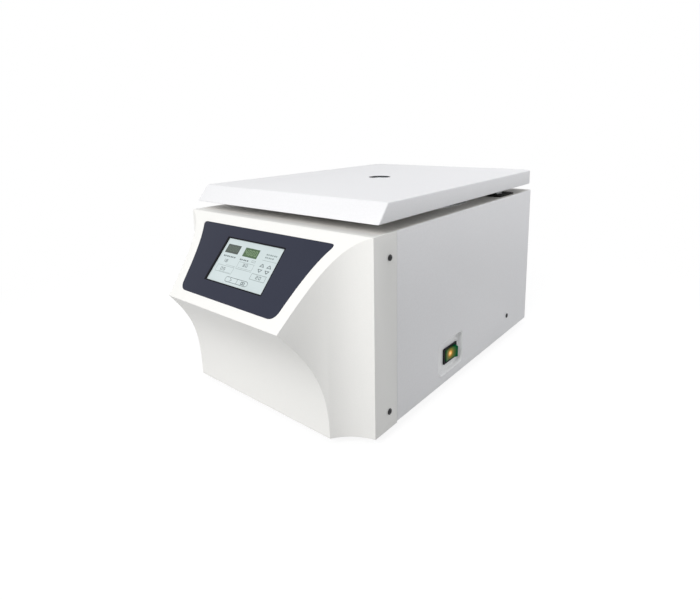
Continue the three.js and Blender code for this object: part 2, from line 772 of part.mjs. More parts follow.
function topDeck() {
  const frontHalf = halfWidth - PANEL_WALL - SEAT_GAP;
  const rearHalf = innerHalfWidth - SEAT_GAP;
  const stepY = housingFront + SEAT_GAP;
  const rear = rearOutline(stepY, rearHalf, BODY_DEPTH - SHEET - SEAT_GAP, REAR_CORNER_RADIUS).slice(2);
  const front = LEDGE_DEPTH + SEAT_GAP;
  const outline = [[-frontHalf, front], [frontHalf, front], [frontHalf, stepY], [rearHalf, stepY]];
  outline.push(...rear, [-rearHalf, stepY], [-frontHalf, stepY]);
  const plate = pull(outlineOf(outline), 'z', deckUnderside, BODY_HEIGHT);
  const cutFrom = deckUnderside - OVERRUN;
  const cutTo = BODY_HEIGHT + OVERRUN;
  const mouth = bar('z', 0, CHAMBER_Y, bowlOuter + RUN_GAP, cutFrom, cutTo, BIG_ROUND);
  const springHoles = SIDES.map(([, sign]) =>
    pull(springOutline(sign, DECK_HOLE_WIDTH, DECK_HOLE_LENGTH), 'z', cutFrom, cutTo),
  );
  const strikerHole = block(
    spread(0, STRIKER_WIDTH + 2 * LOCK_SLOT_SLACK),
    spread(LOCK_Y, STRIKER_THICK + 2 * LOCK_SLOT_SLACK),
    [cutFrom, cutTo],
  );
  return cut(plate, mouth, ...springHoles, strikerHole);
}

function basePan() {
  const half = halfWidth - PANEL_WALL - SEAT_GAP;
  const rear = BODY_DEPTH - SHEET - SEAT_GAP;
  const lipTop = panTop + PAN_LIP;
  const outline = (front, depth) =>
    outlineOf(rearOutline(front, half - depth, rear - depth, REAR_CORNER_RADIUS));
  const floor = pull(outline(PAN_FRONT, 0), 'z', panFloor, panTop);
  const lip = cut(
    pull(outline(housingFront, 0), 'z', panFloor, lipTop),
    pull(outline(PAN_FRONT, PAN_SHEET), 'z', panFloor - OVERRUN, lipTop + OVERRUN),
  );
  const airHole = bar('z', 0, CHAMBER_Y, PLATE_WINDOW, panFloor - OVERRUN, panTop + OVERRUN, ROUND);
  const recessRoom = pull(recessOutline(RUN_GAP), 'x', 0, halfWidth);
  return cut(join(floor, lip), airHole, recessRoom);
}

function foot() {
  const top = panFloor - SEAT_GAP;
  const bottom = top - FOOT_HEIGHT;
  return turn(
    [
      [0, bottom + FOOT_HOLE_DEPTH],
      [FOOT_HOLE_RADIUS, bottom + FOOT_HOLE_DEPTH],
      [FOOT_HOLE_RADIUS, bottom],
      [FOOT_BOTTOM_RADIUS - RUN_GAP, bottom],
      [FOOT_BOTTOM_RADIUS, bottom + RUN_GAP],
      [FOOT_TOP_RADIUS, top],
      [0, top],
    ],
    SMALL_ROUND,
  );
}

// The feet stand under the tray, behind the panel's own floor
function buildFeet() {
  const rows = [FOOT_FRONT_Y, BODY_DEPTH - FOOT_REAR_INSET];
  const places = rows.flatMap((y) => [-footX, footX].map((x) => [x, y]));
  places.forEach(([x, y], i) => add(`foot_${i + 1}`, foot(), blackRubber, groupAt(x, y, 0)));
}

// Chamber

const chamber = groupAt(0, CHAMBER_Y, 0);

function chamberWall() {
  const bottom = bowlFloor - FLOOR_RIM;
  const flangeEdge = bowlOuter + BOWL_FLANGE;
  const flangeUnder = BODY_HEIGHT + SEAT_GAP;
  return turn(
    [
      [BOWL_RADIUS, bottom],
      [bowlOuter, bottom],
      [bowlOuter, flangeUnder],
      [flangeEdge, flangeUnder],
      [flangeEdge, bowlRim],
      [BOWL_RADIUS, bowlRim],
    ],
    BIG_ROUND,
  );
}

// A round plate with its rim turned down and a raised collar round the shaft
function chamberFloor() {
  const under = bowlFloor - SHEET;
  const edge = BOWL_RADIUS - SEAT_GAP;
  const rimLow = bowlFloor - FLOOR_RIM;
  const collarTop = bowlFloor + COLLAR_HEIGHT;
  return turn(
    [
      [COLLAR_RADIUS, under],
      [edge - SHEET, under],
      [edge - SHEET, rimLow],
      [edge, rimLow],
      [edge, bowlFloor],
      [COLLAR_RADIUS + SHEET, bowlFloor],
      [COLLAR_RADIUS + SHEET, collarTop],
      [COLLAR_RADIUS, collarTop],
    ],
    BIG_ROUND,
  );
}

// A rubber ring with a hollow lip that the lid's dish presses on
function chamberGasket() {
  const bottom = bowlRim + SEAT_GAP;
  const top = dishBottom - SEAT_GAP;
  return turn(
    [
      [ringInner, bottom],
      [ringOuter, bottom],
      [ringOuter, top - RING_LIP],
      [ringOuter - RING_LIP, top],
      [ringInner + RING_LIP, top],
      [ringInner, top - RING_LIP],
    ],
    BIG_ROUND,
  );
}

// Drive

function motorMount() {
  const bottom = panTop + SEAT_GAP;
  const top = bottom + MOUNT_HEIGHT;
  const middle = (bottom + top) / 2;
  return turn(
    [
      [0, bottom],
      [MOUNT_RADIUS, bottom],
      [MOUNT_RADIUS, bottom + MOUNT_CAP],
      [MOUNT_WAIST, middle],
      [MOUNT_RADIUS, top - MOUNT_CAP],
      [MOUNT_RADIUS, top],
      [0, top],
    ],
    SMALL_ROUND,
  );
}

function motorPlate() {
  const top = motorPlateFloor + PLATE_THICK;
  const disc = bar('z', 0, 0, PLATE_RADIUS, motorPlateFloor, top, ROUND);
  return cut(disc, bar('z', 0, 0, PLATE_WINDOW, motorPlateFloor - OVERRUN, top + OVERRUN, ROUND));
}

function motor() {
  const flangeTop = motorFloor + MOTOR_FLANGE_THICK;
  const shoulder = motorTop - MOTOR_SHOULDER;
  const bore = SHAFT_RADIUS + RUN_GAP;
  return turn(
    [
      [0, motorFloor],
      [MOTOR_FLANGE, motorFloor],
      [MOTOR_FLANGE, flangeTop],
      [MOTOR_RADIUS, flangeTop],
      [MOTOR_RADIUS, shoulder],
      [MOTOR_RADIUS - MOTOR_SHOULDER, motorTop],
      [bore, motorTop],
      [bore, motorTop - MOTOR_BORE_DEPTH],
      [0, motorTop - MOTOR_BORE_DEPTH],
    ],
    ROUND,
  );
}

function buildDrive() {
  for (let i = 0; i < MOUNT_COUNT; i += 1) {
    const angle = Math.PI / 2 + (i * 2 * Math.PI) / MOUNT_COUNT;
    const place = groupAt(MOUNT_CIRCLE * Math.cos(angle), MOUNT_CIRCLE * Math.sin(angle), 0, chamber);
    add(`motor_mount_${i + 1}`, motorMount(), blackRubber, place);
  }
  add('motor_plate', motorPlate(), zincSteel, chamber);
  add('motor', motor(), darkMetal, chamber);
}

// Rotor

const rotor = groupAt(0, 0, 0, chamber);

function driveShaft() {
  const bottom = motorTop - MOTOR_BORE_DEPTH + RUN_GAP;
  const shoulder = hubFloor - SEAT_GAP;
  return turn(
    [
      [0, bottom],
      [SHAFT_RADIUS, bottom],
      [SHAFT_RADIUS, motorTop + RUN_GAP],
      [SHAFT_SHOULDER, motorTop + RUN_GAP],
      [SHAFT_SHOULDER, shoulder],
      [SHAFT_RADIUS, shoulder],
      [SHAFT_RADIUS, hubTop],
      [SHAFT_RADIUS - SHAFT_TAPER, hubTop + SHAFT_IN_NUT],
      [0, hubTop + SHAFT_IN_NUT],
    ],
    SMALL_ROUND,
  );
}

const evenAngles = (count) => Array.from({ length: count }, (_, i) => (i * 2 * Math.PI) / count);
const turned = (x, y, angle) => new THREE.Vector2(x, y).rotateAround(new THREE.Vector2(), angle);

// A thick disc with four open channels, a pair of pins across each channel, and a hub
function rotorCross() {
  const low = pivotHeight - CROSS_THICK / 2;
  const high = pivotHeight + CROSS_THICK / 2;
  const through = [low - OVERRUN, high + OVERRUN];
  const disc = bar('z', 0, 0, CROSS_RADIUS, low, high, BIG_ROUND);
  const hub = bar('z', 0, 0, HUB_RADIUS, hubFloor, hubTop, ROUND);
  const bore = bar('z', 0, 0, SHAFT_RADIUS + SEAT_GAP, hubFloor - OVERRUN, hubTop + OVERRUN);
  const angles = evenAngles(BUCKET_COUNT);
  const channels = angles.map((angle) =>
    block([CHANNEL_START, CROSS_RADIUS + OVERRUN], spread(0, 2 * CHANNEL_HALF), through).rotateZ(angle),
  );
  const armHoles = angles.map((angle) => {
    const { x, y } = turned(ARM_HOLE_REACH, ARM_HOLE_REACH, angle);
    return bar('z', x, y, ARM_HOLE_RADIUS, ...through);
  });
  const pins = angles.flatMap((angle) =>
    [-1, 1].map((sign) => {
      const ends = between(sign * (CHANNEL_HALF - PIN_LENGTH), sign * (CHANNEL_HALF + OVERRUN));
      return bar('y', PIVOT_CIRCLE, pivotHeight, PIN_RADIUS, ...ends).rotateZ(angle);
    }),
  );
  return cut(join(cut(disc, ...channels, ...armHoles), hub, ...pins), bore);
}

function rotorNut() {
  const bottom = hubTop + SEAT_GAP;
  const top = bottom + NUT_HEIGHT;
  const knob = bar('z', 0, 0, NUT_RADIUS, bottom, top, ROUND);
  const grips = evenAngles(NUT_GRIPS).map((angle) => {
    const { x, y } = turned(NUT_RADIUS, 0, angle);
    return bar('z', x, y, NUT_GRIP_RADIUS, bottom + NUT_GRIP_RADIUS, top + OVERRUN, SMALL_ROUND / 2);
  });
  const boreTop = hubTop + SHAFT_IN_NUT + RUN_GAP;
  const bore = bar('z', 0, 0, SHAFT_RADIUS + RUN_GAP, bottom - OVERRUN, boreTop);
  return cut(knob, ...grips, bore);
}

// A round cup with two ears. Each ear has a slot, open below, that drops over a pin of the cross.
function bucket() {
  const bottom = -BUCKET_BELOW;
  const inner = BUCKET_RADIUS - BUCKET_WALL;
  const rim = BUCKET_RADIUS + BUCKET_RIM;
  const rimLow = BUCKET_ABOVE - BUCKET_RIM_HEIGHT;
  const corner = BUCKET_CORNER - BUCKET_WALL;
  const bendCentre = [BUCKET_RADIUS - BUCKET_CORNER, bottom + BUCKET_CORNER];
  const outerBend = arcPoints(...bendCentre, BUCKET_CORNER, -QUARTER_TURN, 0, CORNER_STEPS);
  const innerBend = arcPoints(...bendCentre, corner, 0, -QUARTER_TURN, CORNER_STEPS);
  const cup = turn(
    [
      [0, bottom],
      ...outerBend,
      [BUCKET_RADIUS, rimLow - BUCKET_RIM],
      [rim, rimLow],
      [rim, BUCKET_ABOVE],
      [inner, BUCKET_ABOVE],
      ...innerBend,
      [0, bottom + BUCKET_WALL],
    ],
    ROUND,
  );
  const earFace = CHANNEL_HALF - EAR_GAP;
  const slotFloor = CHANNEL_HALF - PIN_LENGTH - EAR_GAP;
  const slotHalf = PIN_RADIUS + RUN_GAP;
  const sides = [-1, 1].map((sign) => {
    const [from, to] = between(sign * (inner + BUCKET_WALL / 2), sign * earFace);
    const [cutFrom, cutTo] = between(sign * slotFloor, sign * (earFace + OVERRUN));
    return {
      ear: join(
        bar('y', 0, 0, EAR_RADIUS, from, to),
        block(spread(0, 2 * EAR_RADIUS), [from, to], [-EAR_RADIUS, 0]),
      ),
      slot: join(
        bar('y', 0, 0, slotHalf, cutFrom, cutTo),
        block(spread(0, 2 * slotHalf), [cutFrom, cutTo], [-EAR_RADIUS - OVERRUN, 0]),
      ),
    };
  });
  const ears = cut(
    join(...sides.map(({ ear }) => ear)),
    bar('z', 0, 0, inner + BUCKET_WALL / 2, -EAR_RADIUS - OVERRUN, EAR_RADIUS + OVERRUN, ROUND),
  );
  return cut(join(cup, ears), ...sides.map(({ slot }) => slot));
}

function buildRotor() {
  add('drive_shaft', driveShaft(), steel, rotor);
  add('rotor_cross', rotorCross(), aluminium, rotor);
  add('rotor_nut', rotorNut(), blackPlastic, rotor);
  evenAngles(BUCKET_COUNT).forEach((angle, i) => {
    const { x, y } = turned(PIVOT_CIRCLE, 0, angle);
    const place = groupAt(x, y, pivotHeight, rotor);
    place.rotation.z = angle;
    add(`bucket_${i + 1}`, bucket(), aluminium, place);
  });
}

// Lid

function lidForm(depth, bottom) {
  const front = LID_FRONT_INSET;
  const slope = LID_BEVEL_RUN / LID_HEIGHT;
  const below = lidBottom - bottom;
  const profile = [
    [front - below * slope, bottom],
    [front + LID_BEVEL_RUN, lidTop],
    [lidRear, lidTop],
    [lidRear, bottom],
  ];
  const plan = rearOutline(front - below - OVERRUN, halfWidth, lidRear, LID_CORNER_RADIUS);
  return common(
    pull(outlineOf(inset(plan, depth)), 'z', bottom, lidTop + OVERRUN),
    pull(outlineOf(inset(profile, depth)), 'x', -BODY_WIDTH, BODY_WIDTH),
  );
}

function lidShell() {
  const hole = bar('z', 0, CHAMBER_Y, PORT_RADIUS, lidBottom, lidTop + OVERRUN, ROUND);
  return cut(lidForm(0, lidBottom), lidForm(LID_WALL, lidBottom - LID_WALL - OVERRUN), hole);
}

// The plate inside the lid, with a round pressed dish that closes on the chamber ring
function lidLiner() {
  const front = LID_FRONT_INSET + (LID_BEVEL_RUN / LID_HEIGHT) * LINER_RISE;
  const slant = LID_WALL * Math.hypot(1, LID_BEVEL_RUN / LID_HEIGHT);
  const plateFront = front + slant + (LINER_SHEET * LID_BEVEL_RUN) / LID_HEIGHT + SEAT_GAP;
  const half = halfWidth - LID_WALL - SEAT_GAP;
  const rear = lidRear - LID_WALL - SEAT_GAP;
  const corner = LID_CORNER_RADIUS - LID_WALL;
  const outline = rearOutline(plateFront, half, rear, corner);
  const plate = pull(outlineOf(outline), 'z', linerBottom, linerTop);
  const through = [linerBottom - OVERRUN, linerTop + OVERRUN];
  const dishInner = dishRadius - LINER_SHEET;
  const plateHole = bar('z', 0, CHAMBER_Y, dishInner, ...through, BIG_ROUND);
  const dish = turn(
    [
      [PORT_RADIUS, dishBottom],
      [dishRadius, dishBottom],
      [dishRadius, linerTop],
      [dishInner, linerTop],
      [dishInner, dishBottom + LINER_SHEET],
      [PORT_RADIUS, dishBottom + LINER_SHEET],
    ],
    BIG_ROUND,
  ).translate(0, CHAMBER_Y, 0);
  const notchHalf = KNUCKLE_WIDTH / 2 + EAR_THICK + NOTCH_SIDE;
  const notches = SIDES.map(([, sign]) =>
    block(spread(sign * hingeX, 2 * notchHalf), [rear - NOTCH_DEPTH, rear + OVERRUN], through),
  );
  return cut(join(cut(plate, plateHole), dish), ...notches);
}

function portSleeve() {
  const outer = PORT_RADIUS - SEAT_GAP;
  const inner = outer - SLEEVE_WALL;
  const seat = inner - WINDOW_SEAT;
  const lipTop = lidTop - LID_WALL - SEAT_GAP;
  const windowFloor = lidTop - WINDOW_DEPTH - WINDOW_THICK - SEAT_GAP;
  return turn(
    [
      [seat, dishBottom],
      [outer, dishBottom],
      [outer, lipTop - SLEEVE_LIP / 2],
      [outer + SLEEVE_LIP, lipTop - SLEEVE_LIP / 2],
      [outer + SLEEVE_LIP, lipTop],
      [outer, lipTop],
      [outer, lidTop],
      [inner, lidTop],
      [inner, windowFloor],
      [seat, windowFloor],
    ],
    ROUND,
  );
}

function portWindow() {
  const radius = PORT_RADIUS - SEAT_GAP - SLEEVE_WALL - SEAT_GAP;
  const top = lidTop - WINDOW_DEPTH;
  return bar('z', 0, 0, radius, top - WINDOW_THICK, top, ROUND);
}

function buildLid() {
  add('lid_shell', lidShell(), whitePaint);
  add('lid_liner', lidLiner(), steel);
  const port = groupAt(0, CHAMBER_Y, 0);
  add('port_sleeve', portSleeve(), blackPlastic, port);
  add('port_window', portWindow(), clearWindow, port);
}

// Hinges

// A swan-necked ear: it stands in front of the pin, so that the lid's rear wall can swing down behind it
function hingeEar(from, to) {
  const foot = BODY_HEIGHT + SEAT_GAP;
  const profile = [
    [hingeY - EAR_FOOT_FRONT, foot],
    [hingeY - EAR_FOOT_BACK, foot],
    [hingeY - EAR_WAIST, hingeZ - 2 * KNUCKLE_RADIUS],
    ...arcPoints(hingeY, hingeZ, KNUCKLE_RADIUS, -EAR_ARC, EAR_ARC, EAR_ARC_STEPS),
    [hingeY - EAR_FOOT_FRONT, foot + HINGE_FOOT_THICK + KNUCKLE_RADIUS],
  ];
  return pull(outlineOf(profile), 'x', from, to);
}

function hingeBase() {
  const inner = KNUCKLE_WIDTH / 2 + SEAT_GAP;
  const outer = inner + EAR_THICK;
  const foot = BODY_HEIGHT + SEAT_GAP;
  const along = [hingeY - EAR_FOOT_FRONT, hingeY - EAR_FOOT_BACK];
  const plate = block([-outer, outer], along, [foot, foot + HINGE_FOOT_THICK]);
  const bore = bar('x', hingeY, hingeZ, HINGE_PIN_RADIUS + SEAT_GAP, -outer - OVERRUN, outer + OVERRUN);
  return cut(join(plate, hingeEar(-outer, -inner), hingeEar(inner, outer)), bore);
}

function hingeLeaf() {
  const half = KNUCKLE_WIDTH / 2;
  const low = linerTop + SEAT_GAP;
  const knuckle = bar('x', hingeY, hingeZ, KNUCKLE_RADIUS, -half, half);
  const thickness = [low, low + LEAF_THICK];
  const neck = block([-half, half], [hingeY - LEAF_NECK_REACH - OVERRUN, hingeY], thickness);
  const leaf = block(spread(0, LEAF_WIDTH), [hingeY - LEAF_REACH, hingeY - LEAF_NECK_REACH], thickness);
  const bore = bar('x', hingeY, hingeZ, HINGE_PIN_RADIUS + SEAT_GAP, -half - OVERRUN, half + OVERRUN);
  return cut(join(knuckle, neck, leaf), bore);
}

const hingePin = () => {
  const reach = KNUCKLE_WIDTH / 2 + SEAT_GAP + EAR_THICK + SEAT_GAP;
  const pin = bar('x', hingeY, hingeZ, HINGE_PIN_RADIUS, -reach - EAR_THICK / 2, reach + EAR_THICK / 2);
  const head = bar('x', hingeY, hingeZ, KNUCKLE_RADIUS - RUN_GAP, reach, reach + EAR_THICK / 2);
  return join(pin, head);
};

function buildHinges() {
  for (const [side, sign] of SIDES) {
    const place = groupAt(sign * hingeX, 0, 0);
    add(`hinge_base_${side}`, hingeBase(), zincSteel, place);
    add(`hinge_leaf_${side}`, hingeLeaf(), zincSteel, place);
    add(`hinge_pin_${side}`, hingePin(), steel, place);
  }
}

// Gas springs

// Drawn along z from the lower pin at the origin
function springTube() {
  const end = SPRING_TUBE_START + SPRING_TUBE_LENGTH;
  const inner = SPRING_TUBE_RADIUS - SPRING_TUBE_WALL;
  const throat = SPRING_ROD_RADIUS + RUN_GAP;
  const tube = turn(
    [
      [0, SPRING_TUBE_START],
      [SPRING_TUBE_RADIUS, SPRING_TUBE_START],
      [SPRING_TUBE_RADIUS, end],
      [throat, end],
      [throat, end - SPRING_GUIDE],
      [inner, end - SPRING_GUIDE],
      [inner, SPRING_TUBE_START + SPRING_TUBE_END],
      [0, SPRING_TUBE_START + SPRING_TUBE_END],
    ],
    SMALL_ROUND,
  );
  const half = SPRING_EYE_WIDTH / 2;
  const eye = bar('x', 0, 0, SPRING_EYE_RADIUS, -half, half);
  const neck = bar('z', 0, 0, half, 0, SPRING_TUBE_START + SPRING_TUBE_END / 2);
  const hole = bar('x', 0, 0, SPRING_PIN_RADIUS + SEAT_GAP, -half - OVERRUN, half + OVERRUN);
  return cut(join(tube, eye, neck), hole);
}

function springRod() {
  const half = SPRING_EYE_WIDTH / 2;
  const pistonLow = SPRING_TUBE_START + 2 * SPRING_TUBE_END;
  const pistonRadius = SPRING_TUBE_RADIUS - SPRING_TUBE_WALL - RUN_GAP;
  const piston = bar('z', 0, 0, pistonRadius, pistonLow, pistonLow + SPRING_PISTON_LENGTH);
  const rod = bar('z', 0, 0, SPRING_ROD_RADIUS, pistonLow, springLength - SPRING_PIN_RADIUS);
  const eye = bar('x', 0, springLength, SPRING_EYE_RADIUS, -half, half);
  return join(piston, rod, eye);
}

// A plate on the housing wall with a stepped pin for the lower eye
function springAnchor(sign) {
  const wall = sign * (innerHalfWidth - SEAT_GAP - springX);
  const eyeFace = sign * (SPRING_EYE_WIDTH / 2 + SEAT_GAP);
  const inward = sign * ANCHOR_THICK;
  const plate = block(between(wall - inward, wall), spread(0, ANCHOR_PLATE), spread(0, ANCHOR_PLATE));
  const boss = bar('x', 0, 0, ANCHOR_BOSS_RADIUS, ...between(eyeFace, wall - inward / 2));
  const pin = bar('x', 0, 0, SPRING_PIN_RADIUS, ...between(-eyeFace, eyeFace + inward));
  return join(plate, boss, pin);
}

// A bent plate under the liner, beside the upper eye
function springBracket(sign) {
  const top = linerBottom - SEAT_GAP;
  const along = spread(springTopY, BRACKET_LENGTH);
  const inner = sign * bracketFace;
  const web = block(between(inner, inner + sign * BRACKET_THICK), along, [springTopZ - BRACKET_EDGE, top]);
  const flange = block(between(inner, inner + sign * BRACKET_FLANGE), along, [top - BRACKET_SHEET, top]);
  return join(web, flange);
}

// A black cap over the deck's hole, with a rim that hangs in the hole and a slot for spring and bracket
function slotGrommet(sign) {
  const seat = BODY_HEIGHT + SEAT_GAP;
  const top = seat + GROMMET_THICK;
  const low = BODY_HEIGHT - GROMMET_DEPTH;
  const rimWidth = DECK_HOLE_WIDTH - 2 * SEAT_GAP;
  const rimLength = DECK_HOLE_LENGTH - 2 * SEAT_GAP;
  const insideWidth = rimWidth - 2 * GROMMET_WALL;
  const insideLength = rimLength - 2 * GROMMET_WALL;
  const cap = pull(springOutline(sign, GROMMET_WIDTH, GROMMET_LENGTH), 'z', seat, top);
  const rim = pull(springOutline(sign, rimWidth, rimLength), 'z', low, top);
  const inside = pull(springOutline(sign, insideWidth, insideLength), 'z', low - OVERRUN, seat);
  const slot = pull(springOutline(sign, SLOT_WIDTH, SLOT_LENGTH), 'z', low - OVERRUN, top + OVERRUN);
  return cut(join(cap, rim), inside, slot);
}

function buildSprings() {
  const lean = Math.atan2(SPRING_LEAN, SPRING_DROP);
  for (const [side, sign] of SIDES) {
    const place = groupAt(sign * springX, springTopY - SPRING_LEAN, springTopZ - SPRING_DROP);
    add(`spring_anchor_${side}`, springAnchor(sign), zincSteel, place);
    const spring = groupAt(0, 0, 0, place);
    spring.rotation.x = -lean;
    add(`spring_tube_${side}`, springTube(), blackPlastic, spring);
    add(`spring_rod_${side}`, springRod(), steel, spring);
    add(`spring_bracket_${side}`, springBracket(sign), zincSteel);
    add(`spring_grommet_${side}`, slotGrommet(sign), blackPlastic);
  }
}

// Lid lock

function lidStriker() {
  const top = linerBottom - SEAT_GAP;
  const plate = block(spread(0, STRIKER_WIDTH), spread(LOCK_Y, STRIKER_THICK), [strikerBottom, top]);
  const flange = block(spread(0, STRIKER_WIDTH), spread(LOCK_Y, STRIKER_FLANGE), [top - BRACKET_SHEET, top]);
  const eye = block(
    spread(0, STRIKER_EYE_WIDTH),
    spread(LOCK_Y, STRIKER_THICK + OVERRUN),
    spread(boltZ, STRIKER_EYE_HEIGHT),
  );
  return cut(join(plate, flange), eye);
}

function lockHousing() {
  const top = deckUnderside - SEAT_GAP;
  const bottom = top - LOCK_HEIGHT;
  const front = LOCK_Y - LOCK_FRONT;
  const back = LOCK_Y + LOCK_BACK;
  const body = block(spread(0, LOCK_WIDTH), [front, back], [bottom, top]);
  const strikerSlot = block(
    spread(0, STRIKER_WIDTH + 2 * LOCK_SLOT_SLACK),
    spread(LOCK_Y, STRIKER_THICK + 2 * LOCK_SLOT_SLACK),
    [strikerBottom - LOCK_SLOT_SLACK, top + OVERRUN],
  );
  const boltWay = block(
    spread(0, BOLT_WIDTH + 2 * SEAT_GAP),
    [boltTip - BOLT_LENGTH - RUN_GAP, boltTip + BOLT_TRAVEL + RUN_GAP],
    spread(boltZ, BOLT_HEIGHT + 2 * SEAT_GAP),
  );
  const stemWay = bar('y', 0, boltZ, BOLT_STEM_RADIUS + SEAT_GAP, front - OVERRUN, LOCK_Y - STRIKER_THICK);
  return cut(body, strikerSlot, boltWay, stemWay);
}

function lockBolt() {
  const back = boltTip - BOLT_LENGTH;
  const bolt = block(spread(0, BOLT_WIDTH), [back, boltTip], spread(boltZ, BOLT_HEIGHT));
  return join(bolt, bar('y', 0, boltZ, BOLT_STEM_RADIUS, back - BOLT_STEM_LENGTH, boltTip - BOLT_LENGTH / 2));
}

function buildLock() {
  add('lock_housing', lockHousing(), blackPlastic);
  add('lock_bolt', lockBolt(), steel);
  add('lid_striker', lidStriker(), steel);
}

// Mains switch

function switchRecess() {
  const back = recessFloor - RECESS_WALL;
  const cup = pull(recessOutline(-SEAT_GAP), 'x', back, halfWidth);
  const hollow = pull(recessOutline(-SEAT_GAP - RECESS_WALL), 'x', recessFloor, halfWidth + OVERRUN);
  const flangeTop = innerHalfWidth - SEAT_GAP;
  const flange = pull(recessOutline(RECESS_FLANGE), 'x', flangeTop - RECESS_WALL, flangeTop);
  const opening = block(
    [back - OVERRUN, halfWidth],
    spread(SWITCH_Y, BEZEL_LENGTH - 2 * SWITCH_BODY_INSET + 2 * SEAT_GAP),
    spread(SWITCH_Z, BEZEL_HEIGHT - 2 * SWITCH_BODY_INSET + 2 * SEAT_GAP),
  );
  return cut(join(cup, flange), hollow, opening);
}

function switchBody() {
  const length = BEZEL_LENGTH - 2 * SWITCH_BODY_INSET;
  const height = BEZEL_HEIGHT - 2 * SWITCH_BODY_INSET;
  const bezel = pull(
    roundedRect(SWITCH_Y, SWITCH_Z, BEZEL_LENGTH, BEZEL_HEIGHT, SWITCH_BODY_INSET),
    'x',
    recessFloor + SEAT_GAP,
    bezelFace,
  );
  const body = block(
    [bezelFace - SWITCH_BODY_DEPTH, bezelFace - BEZEL_THICK / 2],
    spread(SWITCH_Y, length),
    spread(SWITCH_Z, height),
  );
  const reach = ROCKER_RADIUS + RUN_GAP;
  const hollow = block(
    [rockerPivot - reach, bezelFace + OVERRUN],
    spread(SWITCH_Y, 2 * reach),
    spread(SWITCH_Z, 2 * (ROCKER_HALF_HEIGHT + SEAT_GAP)),
  );
  return cut(join(bezel, body), hollow);
}

// A round-backed rocker with a shallow V across its face, drawn about its pivot
function rocker() {
  const rise = QUARTER_TURN - ROCKER_RISE_ANGLE;
  const back = arcPoints(0, 0, ROCKER_RADIUS, rise, 4 * QUARTER_TURN - rise, ROUND);
  return pull(outlineOf([[ROCKER_DIP, 0], ...back]), 'z', -ROCKER_HALF_HEIGHT, ROCKER_HALF_HEIGHT);
}

function buildSwitch() {
  add('switch_recess', switchRecess(), whitePaint);
  add('switch_body', switchBody(), blackPlastic);
  const pivot = groupAt(rockerPivot, SWITCH_Y, SWITCH_Z);
  pivot.rotation.z = -degrees(ROCKER_TILT);
  add('power_rocker', rocker(), greenPlastic, pivot);
}

// Mains inlet, three-pin, with two cut corners at the top of its socket

function mainsInlet() {
  const seat = BODY_DEPTH + SEAT_GAP;
  const faceTop = seat + INLET_FLANGE_THICK;
  const flangeWidth = INLET_WIDTH + 2 * INLET_FLANGE;
  const flangeHeight = INLET_HEIGHT + 2 * INLET_FLANGE;
  const flange = pull(
    roundedRect(inletX, INLET_Z, flangeWidth, flangeHeight, INLET_FLANGE / 2),
    'y',
    seat,
    faceTop,
  );
  const body = block(
    spread(inletX, INLET_WIDTH),
    [faceTop - INLET_DEPTH, seat + INLET_FLANGE_THICK / 2],
    spread(INLET_Z, INLET_HEIGHT),
  );
  const [left, right] = spread(inletX, INLET_CAVITY_WIDTH);
  const [low, high] = spread(INLET_Z, INLET_CAVITY_HEIGHT);
  const socket = [
    [left, low],
    [right, low],
    [right, high - INLET_CORNER],
    [right - INLET_CORNER, high],
    [left + INLET_CORNER, high],
    [left, high - INLET_CORNER],
  ];
  const floor = faceTop - INLET_CAVITY_DEPTH;
  const cavity = pull(outlineOf(socket), 'y', floor, faceTop + OVERRUN);
  const pins = [-1, 0, 1].map((i) =>
    block(
      spread(inletX + i * INLET_PIN_SPACING, INLET_PIN_THICK),
      [floor - OVERRUN, floor + INLET_PIN_LENGTH],
      spread(INLET_Z + (i === 0 ? INLET_PIN_DROP / 2 : -INLET_PIN_DROP / 2), INLET_PIN_WIDTH),
    ),
  );
  return join(cut(join(flange, body), cavity), ...pins);
}

// Motor drive unit: a closed box with cooling fins

function driveUnit() {
  const low = panTop + SEAT_GAP;
  const [left, right] = spread(driveX, DRIVE_WIDTH);
  const box = block([left, right], spread(DRIVE_Y, DRIVE_DEPTH), [low, low + DRIVE_HEIGHT - FIN_HEIGHT]);
  const pitch = (DRIVE_WIDTH - FIN_THICK) / (FIN_COUNT - 1);
  const fins = Array.from({ length: FIN_COUNT }, (_, i) =>
    block(
      [left + i * pitch, left + i * pitch + FIN_THICK],
      spread(DRIVE_Y, DRIVE_DEPTH),
      [low + DRIVE_HEIGHT - FIN_HEIGHT - OVERRUN, low + DRIVE_HEIGHT],
    ),
  );
  return join(box, ...fins);
}

// Side screws, drawn along x with the underside of the head at the origin

function sideScrew() {
  const crown = SCREW_HEAD_RADIUS * SCREW_CROWN_SHARE;
  const screw = turn(
    [
      [0, -SCREW_SHANK_LENGTH],
      [SCREW_SHANK_RADIUS, -SCREW_SHANK_LENGTH],
      [SCREW_SHANK_RADIUS, 0],
      [SCREW_HEAD_RADIUS, 0],
      [SCREW_HEAD_RADIUS, SCREW_HEAD_HEIGHT / 2],
      [crown, SCREW_HEAD_HEIGHT],
      [0, SCREW_HEAD_HEIGHT],
    ],
    SMALL_ROUND,
  ).rotateY(Math.PI / 2);
  const depth = [SCREW_HEAD_HEIGHT - SCREW_CROSS_DEPTH, SCREW_HEAD_HEIGHT + OVERRUN];
  const long = spread(0, SCREW_CROSS_LENGTH);
  const narrow = spread(0, SCREW_CROSS_WIDTH);
  return cut(screw, block(depth, long, narrow), block(depth, narrow, long));
}

function buildScrews() {
  for (const [side, sign] of SIDES) {
    for (const [level, y, z] of SCREW_PLACES) {
      const place = groupAt(sign * (halfWidth + SEAT_GAP), y, z);
      place.rotation.z = sign > 0 ? 0 : Math.PI;
      add(`side_screw_${level}_${side}`, sideScrew(), blackPlastic, place);
    }
  }
}

// Assembly

